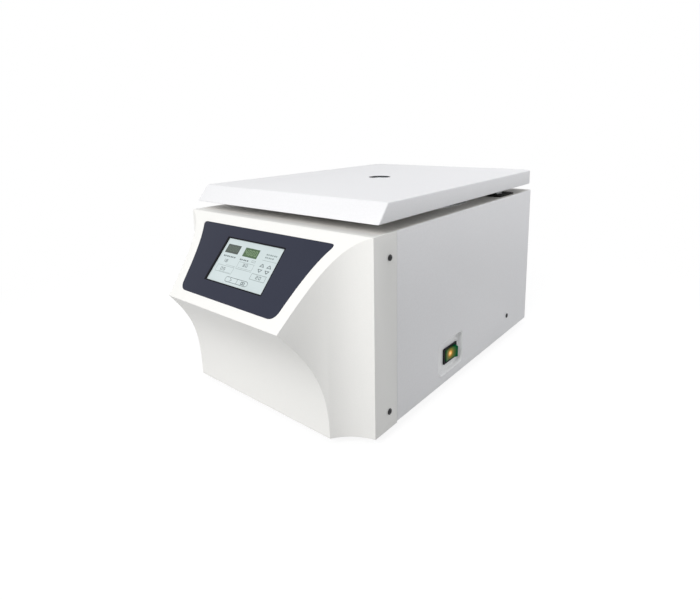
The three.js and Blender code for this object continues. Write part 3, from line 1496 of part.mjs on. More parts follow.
add('front_panel', frontPanel(), whitePlastic);
buildDisplay();
add('housing_wrap', housingWrap(), whitePaint);
add('top_deck', topDeck(), whitePaint);
add('base_pan', basePan(), zincSteel);
buildFeet();
add('chamber_wall', chamberWall(), steel, chamber);
add('chamber_floor', chamberFloor(), steel, chamber);
add('chamber_gasket', chamberGasket(), blackRubber, chamber);
buildDrive();
buildRotor();
buildLid();
buildHinges();
buildSprings();
buildLock();
buildSwitch();
add('mains_inlet', mainsInlet(), blackPlastic);
add('drive_unit', driveUnit(), aluminium);
buildScrews();

// The part's origin is under the middle of the whole machine, on the plane that its feet stand on
const rearmost = Math.max(lidRear, BODY_DEPTH + SEAT_GAP + INLET_FLANGE_THICK);
const footBottom = panFloor - SEAT_GAP - FOOT_HEIGHT;
machine.position.set(0, (NOSE_REACH - rearmost) / 2, -footBottom);

const centrifuge = new THREE.Group();
centrifuge.add(machine);

export default centrifuge;
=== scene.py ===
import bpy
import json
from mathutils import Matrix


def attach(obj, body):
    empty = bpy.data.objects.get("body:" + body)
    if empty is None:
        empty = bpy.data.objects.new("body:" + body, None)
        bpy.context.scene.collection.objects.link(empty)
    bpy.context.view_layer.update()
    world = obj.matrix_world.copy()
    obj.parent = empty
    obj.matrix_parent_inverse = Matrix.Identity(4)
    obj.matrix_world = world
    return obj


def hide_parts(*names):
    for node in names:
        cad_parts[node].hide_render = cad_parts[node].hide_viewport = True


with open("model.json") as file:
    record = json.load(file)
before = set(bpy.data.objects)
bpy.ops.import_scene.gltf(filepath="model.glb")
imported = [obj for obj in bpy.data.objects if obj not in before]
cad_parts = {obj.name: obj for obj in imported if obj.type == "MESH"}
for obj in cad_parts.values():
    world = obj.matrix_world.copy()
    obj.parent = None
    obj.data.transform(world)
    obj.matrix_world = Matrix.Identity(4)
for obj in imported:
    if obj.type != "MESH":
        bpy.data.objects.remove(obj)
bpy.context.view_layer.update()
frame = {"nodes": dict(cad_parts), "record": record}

import json
import math

import bmesh
import bpy
from mathutils import Matrix, Vector

# Lengths are millimetres in the drawing frame: x = 0 is the middle of the machine, y = 0 is the line of its
# front corner edges and z = 0 is the lower edge of the front panel. point() turns them into the row frame.
MM = 0.001
SHIFT = Vector((0.0, -205.0, 11.0))

# How far cutting tools reach past what they cut
OVERRUN = 5.0

# Corners nearer than these, in metres, are one: in a drawn shape, and in one that was cut or comes from CAD
SAME_CORNER = 1e-7
WELD = 2e-6

# Body and front panel
BODY_WIDTH = 360.0
BODY_DEPTH = 498.0
BODY_HEIGHT = 254.0
HALF_WIDTH = BODY_WIDTH / 2
SHEET = 1.5
DECK_SHEET = 2.0
SEAT_GAP = 0.3
PANEL_WALL = 3.5
PANEL_EDGE = 2.2
NOSE_REACH = 92.0
NOSE_HEIGHT = 150.0
NOSE_WIDTH = 224.0
FLANK_ANGLE = 15.5
FLANK_CORNER_PULL = 43.5
FLANK_NOSE_PULL = 51.0
CHIN_ANGLE = 48.8
CHIN_PULL = 63.5
TOE_REACH = 33.0
TOE_PULL = 73.3
SIDE_RETURN = 47.0
LEDGE_DEPTH = 17.0
CURVE_STEPS = 56
FACE_LEAN = math.atan2(NOSE_REACH, BODY_HEIGHT - NOSE_HEIGHT)

# Control overlay and display. Their places are measured down the display face from its top edge.
OVERLAY_TOP = 16.0
OVERLAY_BOTTOM = 124.5
OVERLAY_MARGIN = 17.5
OVERLAY_TOP_RADIUS = 9.0
OVERLAY_BOTTOM_RADIUS = 13.0
OVERLAY_THICK = 1.3
OVERLAY_GROWTH = 0.15
OVERLAY_EDGE = 0.25
SCREEN_WIDTH = 113.5
SCREEN_HEIGHT = 65.2
SCREEN_TOP = 34.8
SCREEN_LEVEL = -OVERLAY_THICK - SEAT_GAP
SCREEN_FRAME = 1.6
SCREEN_FRAME_EDGE = 0.15
FRAME_GAP = 0.1
FRAME_DROP = 0.02
GLASS_RIM = 1.5
GLASS_THICK = 1.1

# Housing
HOUSING_LIFT = 1.5
HOUSING_EDGE = 1.2
SEAM_GAP = 0.5
REAR_CORNER_RADIUS = 8.0
DECK_FLANGE = 12.0
INLET_X = -118.0
INLET_Z = 46.0
INLET_HALF_WIDTH = 14.1
INLET_HALF_HEIGHT = 10.3
VENT_START = 37.0
VENT_END = 133.0
VENT_BOTTOM = 38.0
VENT_HEIGHT = 4.0
VENT_STEP = 10.0
VENT_COUNT = 8

# Lid and sight port
CHAMBER_Y = 260.0
LID_LIFT = 12.5
LID_HEIGHT = 24.5
LID_BEVEL_RUN = 20.0
LID_FRONT = 10.0
LID_REAR = 502.0
LID_HALF = 180.0
LID_CORNER = 22.0
LID_WALL = 2.0
LID_EDGE = 1.8
LID_BOTTOM = BODY_HEIGHT + LID_LIFT
LID_TOP = LID_BOTTOM + LID_HEIGHT
PORT_RADIUS = 19.0
PORT_WALL = 2.0
PORT_SEAT = 2.5
PORT_LIP = 4.0
PORT_LIP_THICK = 2.0
PORT_DROP = 4.0
WINDOW_DROP = 1.5
WINDOW_THICK = 3.0

# Switch. RECESS is the y and z of the recess's middle, its length, its height and its corner radius, and
# corners that lie further inside that outline than LIP_BAND belong to its inner edge.
RECESS = (190.0, 41.0, 76.0, 54.0, 12.0)
RECESS_DEPTH = 7.0
RECESS_ROLL = 1.4
LIP_BAND = 1.0
SWITCH_Y = 198.0
SWITCH_Z = 37.5
BEZEL_THICK = 1.7
ROCKER_SINK = 0.8
ROCKER_TILT = -11.0
ROCKER_RADIUS = 14.4
ROCKER_HALF_ANGLE = 109.0
ROCKER_HALF_HEIGHT = 8.5
ROCKER_SADDLE = 0.4
ROCKER_EDGE = 0.5
LAMP_PLACE = (3.2, -2.6, 1.0)
LAMP_CORE = 0.8
LAMP_REACH = 14.0

# Screws and feet. Each screw has its level, y and z, and each foot its x and y. DOME_ANGLES are radians.
SCREWS = (("upper", 32.0, 224.0), ("lower", 30.0, 24.0), ("rear", 399.0, 35.0))
SCREW_HOLE_RADIUS = 2.4
SCREW_SHANK = 8.0
SCREW_SHANK_RADIUS = 2.0
SCREW_HEAD_RADIUS = 4.0
SCREW_RIM = 0.5
SCREW_DOME = 1.0
DOME_ANGLES = (0.4, 0.75, 1.05)
CROSS_REACH = 2.4
CROSS_HALF_WIDTH = 0.5
CROSS_FLOOR = 0.6
FEET = ((-128.0, 64.0), (128.0, 64.0), (-128.0, 446.0), (128.0, 446.0))
FOOT_BOTTOM = -11.0
FOOT_TOP = 3.5
FOOT_SOLE_RADIUS = 13.1
FOOT_RADIUS = 16.0
FOOT_CHAMFER = 0.4
FOOT_HOLLOW_RADIUS = 5.0
FOOT_HOLLOW_TOP = -4.0
SIDES = (("right", 1), ("left", -1))
MOUNT_COUNT = 3
BUCKET_COUNT = 4

# Steps round a whole circle or along an arc
PORT_STEPS = 96
FOOT_STEPS = 64
SCREW_STEPS = 40
HOLE_STEPS = 24
CORNER_STEPS = 8
REAR_CORNER_STEPS = 16
ROCKER_STEPS = 60
SADDLE_STEPS = 24
RING_STEPS = 5
LIP_STEPS = 5

# Roundings of small parts
SMALL_EDGE = 0.35
FINE_EDGE = 0.3
PART_EDGE = 0.4
RECESS_EDGE = 0.2

# Angles in degrees: edges sharper than these are rounded or stay crisp, and flatter ones are taken out
BEVEL_ANGLE = 30.0
CRISP_ANGLE = 32.0
PANEL_ANGLE = 24.0
HOUSING_ANGLE = 60.0
SWITCH_ANGLE = 40.0
FLAT_ANGLE = 0.5
CURVE_FLAT_ANGLE = 0.05
CAD_FLAT_ANGLE = 1.0


def point(x, y, z):
    return (Vector((x, y, z)) + SHIFT) * MM


# Mesh building

def new_object(name, data):
    made = bpy.data.objects.new(name, data)
    bpy.context.scene.collection.objects.link(made)
    return made


def mesh_object(name, corners, faces):
    mesh = bpy.data.meshes.new(name)
    mesh.from_pydata([point(*corner) for corner in corners], [], faces)
    form = bmesh.new()
    form.from_mesh(mesh)
    bmesh.ops.remove_doubles(form, verts=form.verts, dist=SAME_CORNER)
    bmesh.ops.recalc_face_normals(form, faces=form.faces)
    form.to_mesh(mesh)
    form.free()
    return new_object(name, mesh)


AXES = {
    "x": lambda u, v, w: (w, u, v),
    "z": lambda u, v, w: (u, v, w),
}


def pulled(outline, put, low, high, first=0):
    """The corners and faces of an outline pulled from low to high. first is its first corner's number."""
    count = len(outline)
    corners = [put(u, v, w) for w in (low, high) for u, v in outline]
    near = range(first, first + count)
    far = range(first + count, first + 2 * count)
    sides = [(near[i - 1], near[i], far[i], far[i - 1]) for i in range(count)]
    return corners, [tuple(near), tuple(reversed(far))] + sides


def prism(name, outline, axis, low, high):
    """An outline pulled along an axis. A function for an axis turns each (u, v, w) into its place."""
    return mesh_object(name, *pulled(outline, AXES.get(axis, axis), low, high))


def rect(u0, v0, u1, v1):
    return [(u0, v0), (u1, v0), (u1, v1), (u0, v1)]


def block(name, x, y, z):
    return prism(name, rect(x[0], y[0], x[1], y[1]), "z", z[0], z[1])


def lathe(name, profile, steps, centre, axis="z"):
    """A profile of (radius, height) turned about an axis through centre."""
    put = AXES[axis]
    corners, rings = [], []
    for radius, height in profile:
        ring = []
        for i in range(1 if radius == 0 else steps):
            angle = 2 * math.pi * i / steps
            ring.append(len(corners))
            u = centre[0] + radius * math.cos(angle)
            v = centre[1] + radius * math.sin(angle)
            corners.append(put(u, v, height))
        rings.append(ring * steps if radius == 0 else ring)
    if profile[0][0] > 0:
        rings.append(rings[0])
    faces = []
    for low, high in zip(rings, rings[1:]):
        for i in range(steps):
            j = (i + 1) % steps
            face = [low[i], low[j], high[j], high[i]]
            faces.append(tuple(dict.fromkeys(face)))
    return mesh_object(name, corners, [face for face in faces if len(face) > 2])


def arc(u, v, radius, start, stop, steps):
    angles = [math.radians(start + (stop - start) * i / steps) for i in range(steps + 1)]
    return [(u + radius * math.cos(a), v + radius * math.sin(a)) for a in angles]


def circle(u, v, radius, steps):
    return arc(u, v, radius, 0, 360, steps)[:-1]


def rounded_rect(u, v, width, height, radius, steps=CORNER_STEPS):
    left, right = u - width / 2 + radius, u + width / 2 - radius
    low, high = v - height / 2 + radius, v + height / 2 - radius
    return (arc(right, low, radius, -90, 0, steps) + arc(right, high, radius, 0, 90, steps)
            + arc(left, high, radius, 90, 180, steps) + arc(left, low, radius, 180, 270, steps))


def mirrored(right):
    """An outline's right half and its mirror image on the left."""
    return right + [(-u, v) for u, v in reversed(right)]


def toward(start, angle, length):
    """The place at a length from start, in a direction in degrees."""
    turn = math.radians(angle)
    return (start[0] + length * math.cos(turn), start[1] + length * math.sin(turn))


def bezier(p0, p1, p2, p3, steps):
    places = []
    for i in range(steps + 1):
        t = i / steps
        s = 1 - t
        weights = (s * s * s, 3 * s * s * t, 3 * s * t * t, t * t * t)
        places.append(tuple(sum(w * p[k] for w, p in zip(weights, (p0, p1, p2, p3))) for k in (0, 1)))
    return places


def quarter(start, corner, stop, steps=CORNER_STEPS):
    """A curve from start to stop that leaves and arrives along the lines to corner."""
    return [
        tuple((1 - k) ** 2 * a + 2 * k * (1 - k) * b + k * k * c for a, b, c in zip(start, corner, stop))
        for k in (i / steps for i in range(steps + 1))
    ]


def inset(points, distance):
    """An outline moved inwards, or outwards by a distance below zero."""
    area = sum(a[0] * b[1] - b[0] * a[1] for a, b in zip(points, points[1:] + points[:1]))
    inward = distance if area >= 0 else -distance

    def normal(a, b):
        length = math.hypot(b[0] - a[0], b[1] - a[1])
        return ((a[1] - b[1]) / length, (b[0] - a[0]) / length)

    moved = []
    for i, here in enumerate(points):
        before = normal(points[i - 1], here)
        after = normal(here, points[(i + 1) % len(points)])
        reach = inward / (1 + before[0] * after[0] + before[1] * after[1])
        moved.append((here[0] + (before[0] + after[0]) * reach, here[1] + (before[1] + after[1]) * reach))
    return moved


def bake(piece):
    """Applies the piece's modifiers to its mesh."""
    graph = bpy.context.evaluated_depsgraph_get()
    mesh = bpy.data.meshes.new_from_object(piece.evaluated_get(graph))
    piece.modifiers.clear()
    piece.data = mesh
    return piece


def combine(base, tool, operation="DIFFERENCE"):
    modifier = base.modifiers.new("combine", "BOOLEAN")
    modifier.operation = operation
    modifier.solver = "EXACT"
    modifier.object = tool
    bake(base)
    bpy.data.objects.remove(tool)
    return base


def cut(base, *tools):
    for tool in tools:
        combine(base, tool)
    return base


def merge_flat(source, target, angle):
    """Writes a mesh to target with its doubled corners joined and its nearly flat faces made one."""
    form = bmesh.new()
    form.from_mesh(source)
    bmesh.ops.remove_doubles(form, verts=form.verts, dist=WELD)
    limit = math.radians(angle)
    bmesh.ops.dissolve_limit(
        form, angle_limit=limit, verts=form.verts, edges=form.edges, use_dissolve_boundaries=False
    )
    form.to_mesh(target)
    form.free()


def clean(piece, angle=FLAT_ANGLE):
    """Joins the flat triangles that a cut leaves, so that its edges bevel evenly."""
    merge_flat(piece.data, piece.data, angle)
    return piece


def rounded(piece, width, segments=2, angle=BEVEL_ANGLE):
    bevel = piece.modifiers.new("bevel", "BEVEL")
    bevel.width = width * MM
    bevel.segments = segments
    bevel.limit_method = "ANGLE"
    bevel.angle_limit = math.radians(angle)
    bevel.harden_normals = False
    return piece


def smooth(piece, angle=CRISP_ANGLE):
    piece.data.shade_smooth()
    piece.data.set_sharp_from_angle(angle=math.radians(angle))
    return piece


def finish(piece, body, slot, material, *nodes):
    """Gives a piece its material, hangs it on the body that it rides on and hides the CAD nodes that it
    stands for.
    """
    piece.data.materials.clear()
    piece.data.materials.append(material)
    if nodes:
        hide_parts(*nodes)
    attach(piece, body)
    return piece


BODY_OF = {node: body for body, nodes in frame["record"]["behaviour"]["bodies"].items() for node in nodes}
SLOT_OF = {row["node"]: row["material_slot"] for row in frame["record"]["subparts"]}


def refined(node, material, width=PART_EDGE, angle=CRISP_ANGLE):
    """A CAD node's own shape with its edges rounded."""
    mesh = bpy.data.meshes.new(node + "_fine")
    merge_flat(frame["nodes"][node].data, mesh, CAD_FLAT_ANGLE)
    piece = new_object(node + "_fine", mesh)
    smooth(piece, angle)
    rounded(piece, width, angle=angle)
    return finish(piece, BODY_OF[node], SLOT_OF[node], material, node)


# Shader nodes

def set_inputs(node, values):
    for name, value in values.items():
        node.inputs[name].default_value = value


def new_material(name, values):
    """A material, its node tree and its shader with the values of the shader's inputs."""
    material = bpy.data.materials.new(name)
    material.use_nodes = True
    shader = material.node_tree.nodes["Principled BSDF"]
    set_inputs(shader, values)
    return material, material.node_tree, shader


def add_node(tree, kind, sources=(), values=None, **settings):
    """A shader node with its settings, the values of its inputs, and (input, output) pairs linked to it."""
    node = tree.nodes.new("ShaderNode" + kind)
    for name, value in settings.items():
        setattr(node, name, value)
    set_inputs(node, values or {})
    feed(tree, node, *sources)
    return node


def feed(tree, node, *sources):
    for name, output in sources:
        tree.links.new(output, node.inputs[name])


def object_place(tree):
    return add_node(tree, "TexCoord").outputs["Object"]


def noise(tree, place, scale, detail=2.0):
    return add_node(tree, "TexNoise", [("Vector", place)], {"Scale": scale, "Detail": detail}).outputs["Fac"]


def mapped(tree, value, low, high, start=0.0, stop=1.0, curve="LINEAR"):
    """A value's stretch from start to stop turned into the stretch from low to high."""
    ends = {"From Min": start, "From Max": stop, "To Min": low, "To Max": high}
    return add_node(tree, "MapRange", [("Value", value)], ends, interpolation_type=curve).outputs["Result"]


def blend(tree, share, color, tint):
    ends = {"A": (*color, 1), "B": (*tint, 1)}
    return add_node(tree, "Mix", [("Factor", share)], ends, data_type="RGBA").outputs["Result"]


def darkened(tree, color, share):
    sources = [("A", color), ("B", share)]
    mix = add_node(tree, "Mix", sources, {"Factor": 1.0}, data_type="RGBA", blend_type="MULTIPLY")
    return mix.outputs["Result"]


def relief(tree, height, strength, depth):
    values = {"Strength": strength, "Distance": depth * MM}
    return add_node(tree, "Bump", [("Height", height)], values).outputs["Normal"]


def vector_length(tree, vector):
    return add_node(tree, "VectorMath", [(0, vector)], operation="LENGTH").outputs["Value"]


# Materials

CLOUD_DETAIL = 5.0
GRAIN_DETAIL = 3.0
GRAIN_STRENGTH = 0.6
GLOSS_SPREAD = 0.06
SPECKLE_DETAIL = 1.0
SPECKLE_START = 0.35
SPECKLE_STOP = 0.65
STREAK_LENGTH_SCALE = 12.0
STREAK_WIDTH_SCALE = 900.0
STREAK_DETAIL = 4.0
STREAK_STRENGTH = 0.25
STREAK_DEPTH = 0.03
STREAK_POLISH = 0.1
STREAK_DULLING = 0.12


def grainy(name, color, tint, roughness, grain, depth, metallic=0.0, cloud=6.0, speckle=0.0, specular=0.5):
    """A surface with a cloudy colour, an uneven gloss and a fine relief. grain is the relief's size in mm."""
    material, tree, shader = new_material(name, {"Metallic": metallic, "Specular IOR Level": specular})
    place = object_place(tree)
    clouds = noise(tree, place, cloud, CLOUD_DETAIL)
    grains = noise(tree, place, 1 / (grain * MM), GRAIN_DETAIL)
    base = blend(tree, clouds, color, tint)
    if speckle:
        dots = noise(tree, place, 1 / (2 * grain * MM), SPECKLE_DETAIL)
        base = darkened(tree, base, mapped(tree, dots, 1 - speckle, 1.0, SPECKLE_START, SPECKLE_STOP))
    feed(
        tree, shader,
        ("Base Color", base),
        ("Roughness", mapped(tree, clouds, roughness - GLOSS_SPREAD, roughness + GLOSS_SPREAD)),
        ("Normal", relief(tree, grains, GRAIN_STRENGTH, depth)),
    )
    return material


def brushed(name, color, tint, roughness, axis):
    """Metal with fine streaks along one axis, 0 for x, 1 for y or 2 for z."""
    material, tree, shader = new_material(name, {"Metallic": 1.0})
    scale = [STREAK_LENGTH_SCALE if i == axis else STREAK_WIDTH_SCALE for i in range(3)]
    stretch = add_node(tree, "Mapping", [("Vector", object_place(tree))], {"Scale": scale})
    streaks = noise(tree, stretch.outputs["Vector"], 1.0, STREAK_DETAIL)
    feed(
        tree, shader,
        ("Base Color", blend(tree, streaks, color, tint)),
        ("Roughness", mapped(tree, streaks, roughness - STREAK_POLISH, roughness + STREAK_DULLING)),
        ("Normal", relief(tree, streaks, STREAK_STRENGTH, STREAK_DEPTH)),
    )
    return material


def ink(name, color, tint, glow=0.0):
    """What the display shows, with a faint light of its own."""
    material = grainy(name, color, tint, 0.2, 0.6, 0.002, cloud=60.0)
    shader = material.node_tree.nodes["Principled BSDF"]
    set_inputs(shader, {"Emission Color": (*color, 1), "Emission Strength": glow})
    return material


def screen_material():
    """The display's ground: a softly lit, cloudy green-grey."""
    material, tree, shader = new_material("display_ground", {"Roughness": 0.12, "Emission Strength": 0.15})
    ground = blend(tree, noise(tree, object_place(tree), 25.0, 3.0), (0.43, 0.50, 0.50), (0.52, 0.58, 0.59))
    feed(tree, shader, ("Base Color", ground), ("Emission Color", ground))
    return material


# The rocker's colours at the lamp, at shares of the lamp's reach, and past it
LAMP_COLOR = (1.0, 0.66, 0.30, 1)
GLOW_COLORS = (
    (0.14, (0.85, 0.40, 0.10)),
    (0.34, (0.30, 0.20, 0.03)),
    (0.62, (0.09, 0.14, 0.03)),
)
ROCKER_COLOR = (0.0, 0.09, 0.028, 1)
GLOW_NEAR = 0.5
GLOW_FAR = 0.12
GLOW_FADE = 0.5
SWIRL_SCALE = 160.0
SWIRL_DARK = 0.65
SWIRL_LIGHT = 1.35


def rocker_material(lamp):
    """Translucent green with a small neon lamp glowing inside the pressed end."""
    material, tree, shader = new_material("rocker_green", {"Roughness": 0.3, "Specular IOR Level": 0.06})
    place = object_place(tree)
    from_lamp = add_node(tree, "VectorMath", [(0, place)], {1: lamp}, operation="SUBTRACT").outputs["Vector"]
    away = mapped(tree, vector_length(tree, from_lamp), 0.0, 1.0, LAMP_CORE * MM, LAMP_REACH * MM)
    ramp = add_node(tree, "ValToRGB", [("Fac", away)])
    ends = ramp.color_ramp.elements
    ends[0].color = LAMP_COLOR
    ends[1].color = ROCKER_COLOR
    for stop, color in GLOW_COLORS:
        ends.new(stop).color = (*color, 1)
    swirl = mapped(tree, noise(tree, place, SWIRL_SCALE), SWIRL_DARK, SWIRL_LIGHT)
    sources = [(0, ramp.outputs["Color"]), (1, swirl)]
    color = add_node(tree, "VectorMath", sources, operation="MULTIPLY").outputs["Vector"]
    glow = mapped(tree, away, GLOW_NEAR, GLOW_FAR, 0.0, GLOW_FADE, "SMOOTHSTEP")
    feed(tree, shader, ("Base Color", color), ("Emission Color", color), ("Emission Strength", glow))
    return material


def window_material():
    """Clear plastic with a slightly uneven polish."""
    values = {"Base Color": (0.85, 0.9, 0.9, 1), "Transmission Weight": 0.7, "IOR": 1.49}
    material, tree, shader = new_material("sight_glass", values)
    feed(tree, shader, ("Roughness", mapped(tree, noise(tree, object_place(tree), 60.0), 0.03, 0.12)))
    return material


white_plastic = grainy(
    "white_moulding", (0.83, 0.825, 0.80), (0.80, 0.795, 0.775), 0.42, 0.5, 0.012, speckle=0.02)
white_paint = grainy(
    "white_powder_coat", (0.80, 0.80, 0.81), (0.77, 0.77, 0.785), 0.42, 1.4, 0.05, cloud=3.0, speckle=0.02)
# A lighter copy of the white powder coat for the switch recess: painted light that brightens the recess
# against its own shade.
recess_paint_painted_light = grainy(
    "recess_powder_coat_painted_light", (0.90, 0.90, 0.90), (0.87, 0.87, 0.875), 0.4, 1.4, 0.03, cloud=3.0, speckle=0.02)
# A warm grey-white for the deck, lighter than the other white coats. The extra lightness is painted light
# that brightens the deck where it lies in the lid's shade.
deck_paint_painted_light = grainy(
    "deck_powder_coat_painted_light", (0.86, 0.835, 0.795), (0.83, 0.805, 0.77), 0.5, 1.4, 0.05, speckle=0.03)
navy_film = grainy(
    "navy_film", (0.028, 0.031, 0.050), (0.034, 0.038, 0.058), 0.40, 0.3, 0.006, cloud=9.0, speckle=0.12,
    specular=0.1)
black_plastic = grainy(
    "black_plastic", (0.008, 0.008, 0.009), (0.013, 0.013, 0.014), 0.42, 0.6, 0.02, specular=0.25)
black_frame = grainy(
    "black_frame", (0.004, 0.004, 0.006), (0.007, 0.007, 0.009), 0.5, 0.5, 0.01, specular=0.08)
black_rubber = grainy(
    "black_rubber", (0.012, 0.012, 0.012), (0.02, 0.019, 0.018), 0.75, 0.8, 0.04, specular=0.2)
black_screw = grainy(
    "black_screw", (0.014, 0.014, 0.016), (0.03, 0.03, 0.032), 0.33, 0.4, 0.01, metallic=0.6)
motor_enamel = grainy(
    "motor_enamel", (0.045, 0.048, 0.055), (0.06, 0.064, 0.07), 0.45, 1.2, 0.05)
zinc = grainy(
    "zinc_plate", (0.46, 0.47, 0.48), (0.60, 0.61, 0.62), 0.36, 2.5, 0.01, metallic=0.9, cloud=18.0)
anodised = grainy(
    "anodised", (0.66, 0.67, 0.68), (0.72, 0.73, 0.74), 0.34, 0.4, 0.01, metallic=0.9, cloud=14.0)
stainless = brushed("stainless", (0.58, 0.59, 0.60), (0.70, 0.71, 0.72), 0.26, 0)
bright_pin = brushed("bright_pin", (0.66, 0.67, 0.68), (0.74, 0.75, 0.76), 0.2, 2)
display_ground = screen_material()
sight_glass = window_material()
ink_grey = ink("ink_grey", (0.22, 0.27, 0.27), (0.27, 0.32, 0.32))
ink_dark = ink("ink_dark", (0.12, 0.15, 0.155), (0.15, 0.18, 0.185))
ink_block = ink("ink_block", (0.045, 0.055, 0.055), (0.06, 0.08, 0.06))
ink_green = ink("ink_green", (0.035, 0.080, 0.030), (0.06, 0.12, 0.048), 0.05)
ink_faint = ink("ink_faint", (0.09, 0.13, 0.10), (0.12, 0.17, 0.12))
ink_pale = ink("ink_pale", (0.17, 0.26, 0.14), (0.24, 0.35, 0.20), 0.05)


# Camera, light and floor

# The camera's place in the drawing frame, its angles in degrees and its shifts in picture widths
PICTURE_WIDTH = 700
FOCAL_PIXELS = 494.22
SENSOR_WIDTH = 36.0
CAMERA_PLACE = (508.19, -438.39, 379.69)
CAMERA_AZIMUTH = 40.864
CAMERA_PITCH = 10.419
CAMERA_ROLL = -1.312
SHIFT_ACROSS = 0.01591
SHIFT_UP = -0.11867
CLIP_END = 100.0

# Each lamp's place and target in metres in the row frame, its width in metres, its watts and its colour
LAMPS = {
    "key": ((0.2, -2.4, 1.75), (0, -0.05, 0.15), 1.6, 59.0, (1.0, 0.995, 0.99)),
    "rear": ((0.9, 1.7, 1.8), (0, 0.1, 0.25), 1.2, 3.0, (0.98, 0.98, 1.0)),
    "side": ((1.15, 1.15, 0.3), (0.15, 0.15, 0.1), 0.8, 3.0, (0.98, 0.985, 1.0)),
    "lid": ((0.28, 0.5, 1.0), (0.14, 0.25, 0.3), 0.6, 1.6, (0.965, 0.965, 1.0)),
}
SKY_COLOR = (0.97, 0.985, 1.0, 1)
SKY_STRENGTH = 0.45
WHITE = (1, 1, 1, 1)

# The floor's half width, and where its own shade starts and ends its fade into white, in metres. NEAR_WHITE
# is the share of white near the machine, and FLOOR_LIFT the brightness that the camera sees on top.
FLOOR_REACH = 20.0
FADE_START = 0.35
FADE_END = 0.95
NEAR_WHITE = 0.60
FLOOR_LIFT = 0.66


def turned_basis(azimuth, pitch, roll):
    """The camera's own axes, from its angles in degrees."""
    a, p, q = (math.radians(v) for v in (azimuth, pitch, roll))
    forward = Vector((-math.sin(a) * math.cos(p), math.cos(a) * math.cos(p), -math.sin(p)))
    right = Vector((math.cos(a), math.sin(a), 0))
    up = right.cross(forward)
    turned_right = right * math.cos(q) + up * math.sin(q)
    turned_up = up * math.cos(q) - right * math.sin(q)
    return Matrix((turned_right, turned_up, -forward)).transposed()


def build_camera():
    data = bpy.data.cameras.new("camera")
    data.sensor_fit = "HORIZONTAL"
    data.sensor_width = SENSOR_WIDTH
    data.lens = FOCAL_PIXELS / PICTURE_WIDTH * SENSOR_WIDTH
    data.shift_x = SHIFT_ACROSS
    data.shift_y = SHIFT_UP
    data.clip_end = CLIP_END
    camera = new_object("camera", data)
    basis = turned_basis(CAMERA_AZIMUTH, CAMERA_PITCH, CAMERA_ROLL)
    camera.matrix_world = Matrix.Translation(point(*CAMERA_PLACE)) @ basis.to_4x4()
    bpy.context.scene.camera = camera


def build_lamps():
    for name, (place, target, size, power, color) in LAMPS.items():
        data = bpy.data.lights.new(name, "AREA")
        data.shape = "DISK"
        data.size = size
        data.energy = power
        data.color = color
        lamp = new_object(name, data)
        lamp.location = place
        lamp.rotation_euler = (Vector(target) - Vector(place)).to_track_quat("-Z", "Y").to_euler()


def shown_or_mirrored(tree):
    """1 where the camera sees a surface itself, in a mirror or through glass, and 0 where it only lights."""
    path = add_node(tree, "LightPath").outputs
    total = path["Is Camera Ray"]
    for kind in ("Is Glossy Ray", "Is Transmission Ray"):
        total = add_node(tree, "Math", [(0, total), (1, path[kind])], operation="MAXIMUM").outputs["Value"]
    return total


def build_world():
    world = bpy.data.worlds.new("studio")
    bpy.context.scene.world = world
    world.use_nodes = True
    tree = world.node_tree
    sky = tree.nodes["Background"]
    set_inputs(sky, {"Color": SKY_COLOR, "Strength": SKY_STRENGTH})
    lights = sky.outputs["Background"]
    shows = add_node(tree, "Background", values={"Color": WHITE}).outputs["Background"]
    mix = add_node(tree, "MixShader", [("Fac", shown_or_mirrored(tree)), (1, lights), (2, shows)])
    feed(tree, tree.nodes["World Output"], ("Surface", mix.outputs["Shader"]))


def floor_material():
    """Pale paper that turns into the sky's white further away, so that no horizon shows."""
    paper = grainy("floor_paper", (0.44, 0.44, 0.44), (0.42, 0.42, 0.42), 0.8, 3.0, 0.05, cloud=2.0)
    tree = paper.node_tree
    shader = tree.nodes["Principled BSDF"]
    shown = shown_or_mirrored(tree)
    lift = add_node(tree, "Math", [(0, shown)], {1: FLOOR_LIFT}, operation="MULTIPLY")
    set_inputs(shader, {"Emission Color": WHITE})
    feed(tree, shader, ("Emission Strength", lift.outputs["Value"]))
    away = vector_length(tree, object_place(tree))
    fade = mapped(tree, away, NEAR_WHITE, 1.0, FADE_START, FADE_END, "SMOOTHSTEP")
    share = add_node(tree, "Math", [(0, fade), (1, shown)], operation="MULTIPLY").outputs["Value"]
    white = add_node(tree, "Emission").outputs["Emission"]
    mix = add_node(tree, "MixShader", [("Fac", share), (1, shader.outputs["BSDF"]), (2, white)])
    feed(tree, tree.nodes["Material Output"], ("Surface", mix.outputs["Shader"]))
    return paper


def build_floor():
    mesh = bpy.data.meshes.new("floor")
    corners = [(x, y, 0) for x, y in rect(-FLOOR_REACH, -FLOOR_REACH, FLOOR_REACH, FLOOR_REACH)]
    mesh.from_pydata(corners, [], [(0, 1, 2, 3)])
    mesh.materials.append(floor_material())
    floor = new_object("floor", mesh)


def build_stage():
    bpy.context.scene.view_settings.view_transform = "Standard"
    build_world()
    build_floor()
    build_lamps()


# Front panel

FRONT_CORNER = (HALF_WIDTH, 0.0)
NOSE_CORNER = (NOSE_WIDTH / 2, -NOSE_REACH)
FLANK = bezier(
    FRONT_CORNER,
    toward(FRONT_CORNER, 180 + FLANK_ANGLE, FLANK_CORNER_PULL),
    toward(NOSE_CORNER, 90 - FLANK_ANGLE, FLANK_NOSE_PULL),
    NOSE_CORNER,
    CURVE_STEPS,
)
NOSE_TIP = (-NOSE_REACH, NOSE_HEIGHT)
CHIN = bezier(
    NOSE_TIP,
    toward(NOSE_TIP, -CHIN_ANGLE, CHIN_PULL),
    (-TOE_REACH, TOE_PULL),
    (-TOE_REACH, 0.0),
    CURVE_STEPS,
)


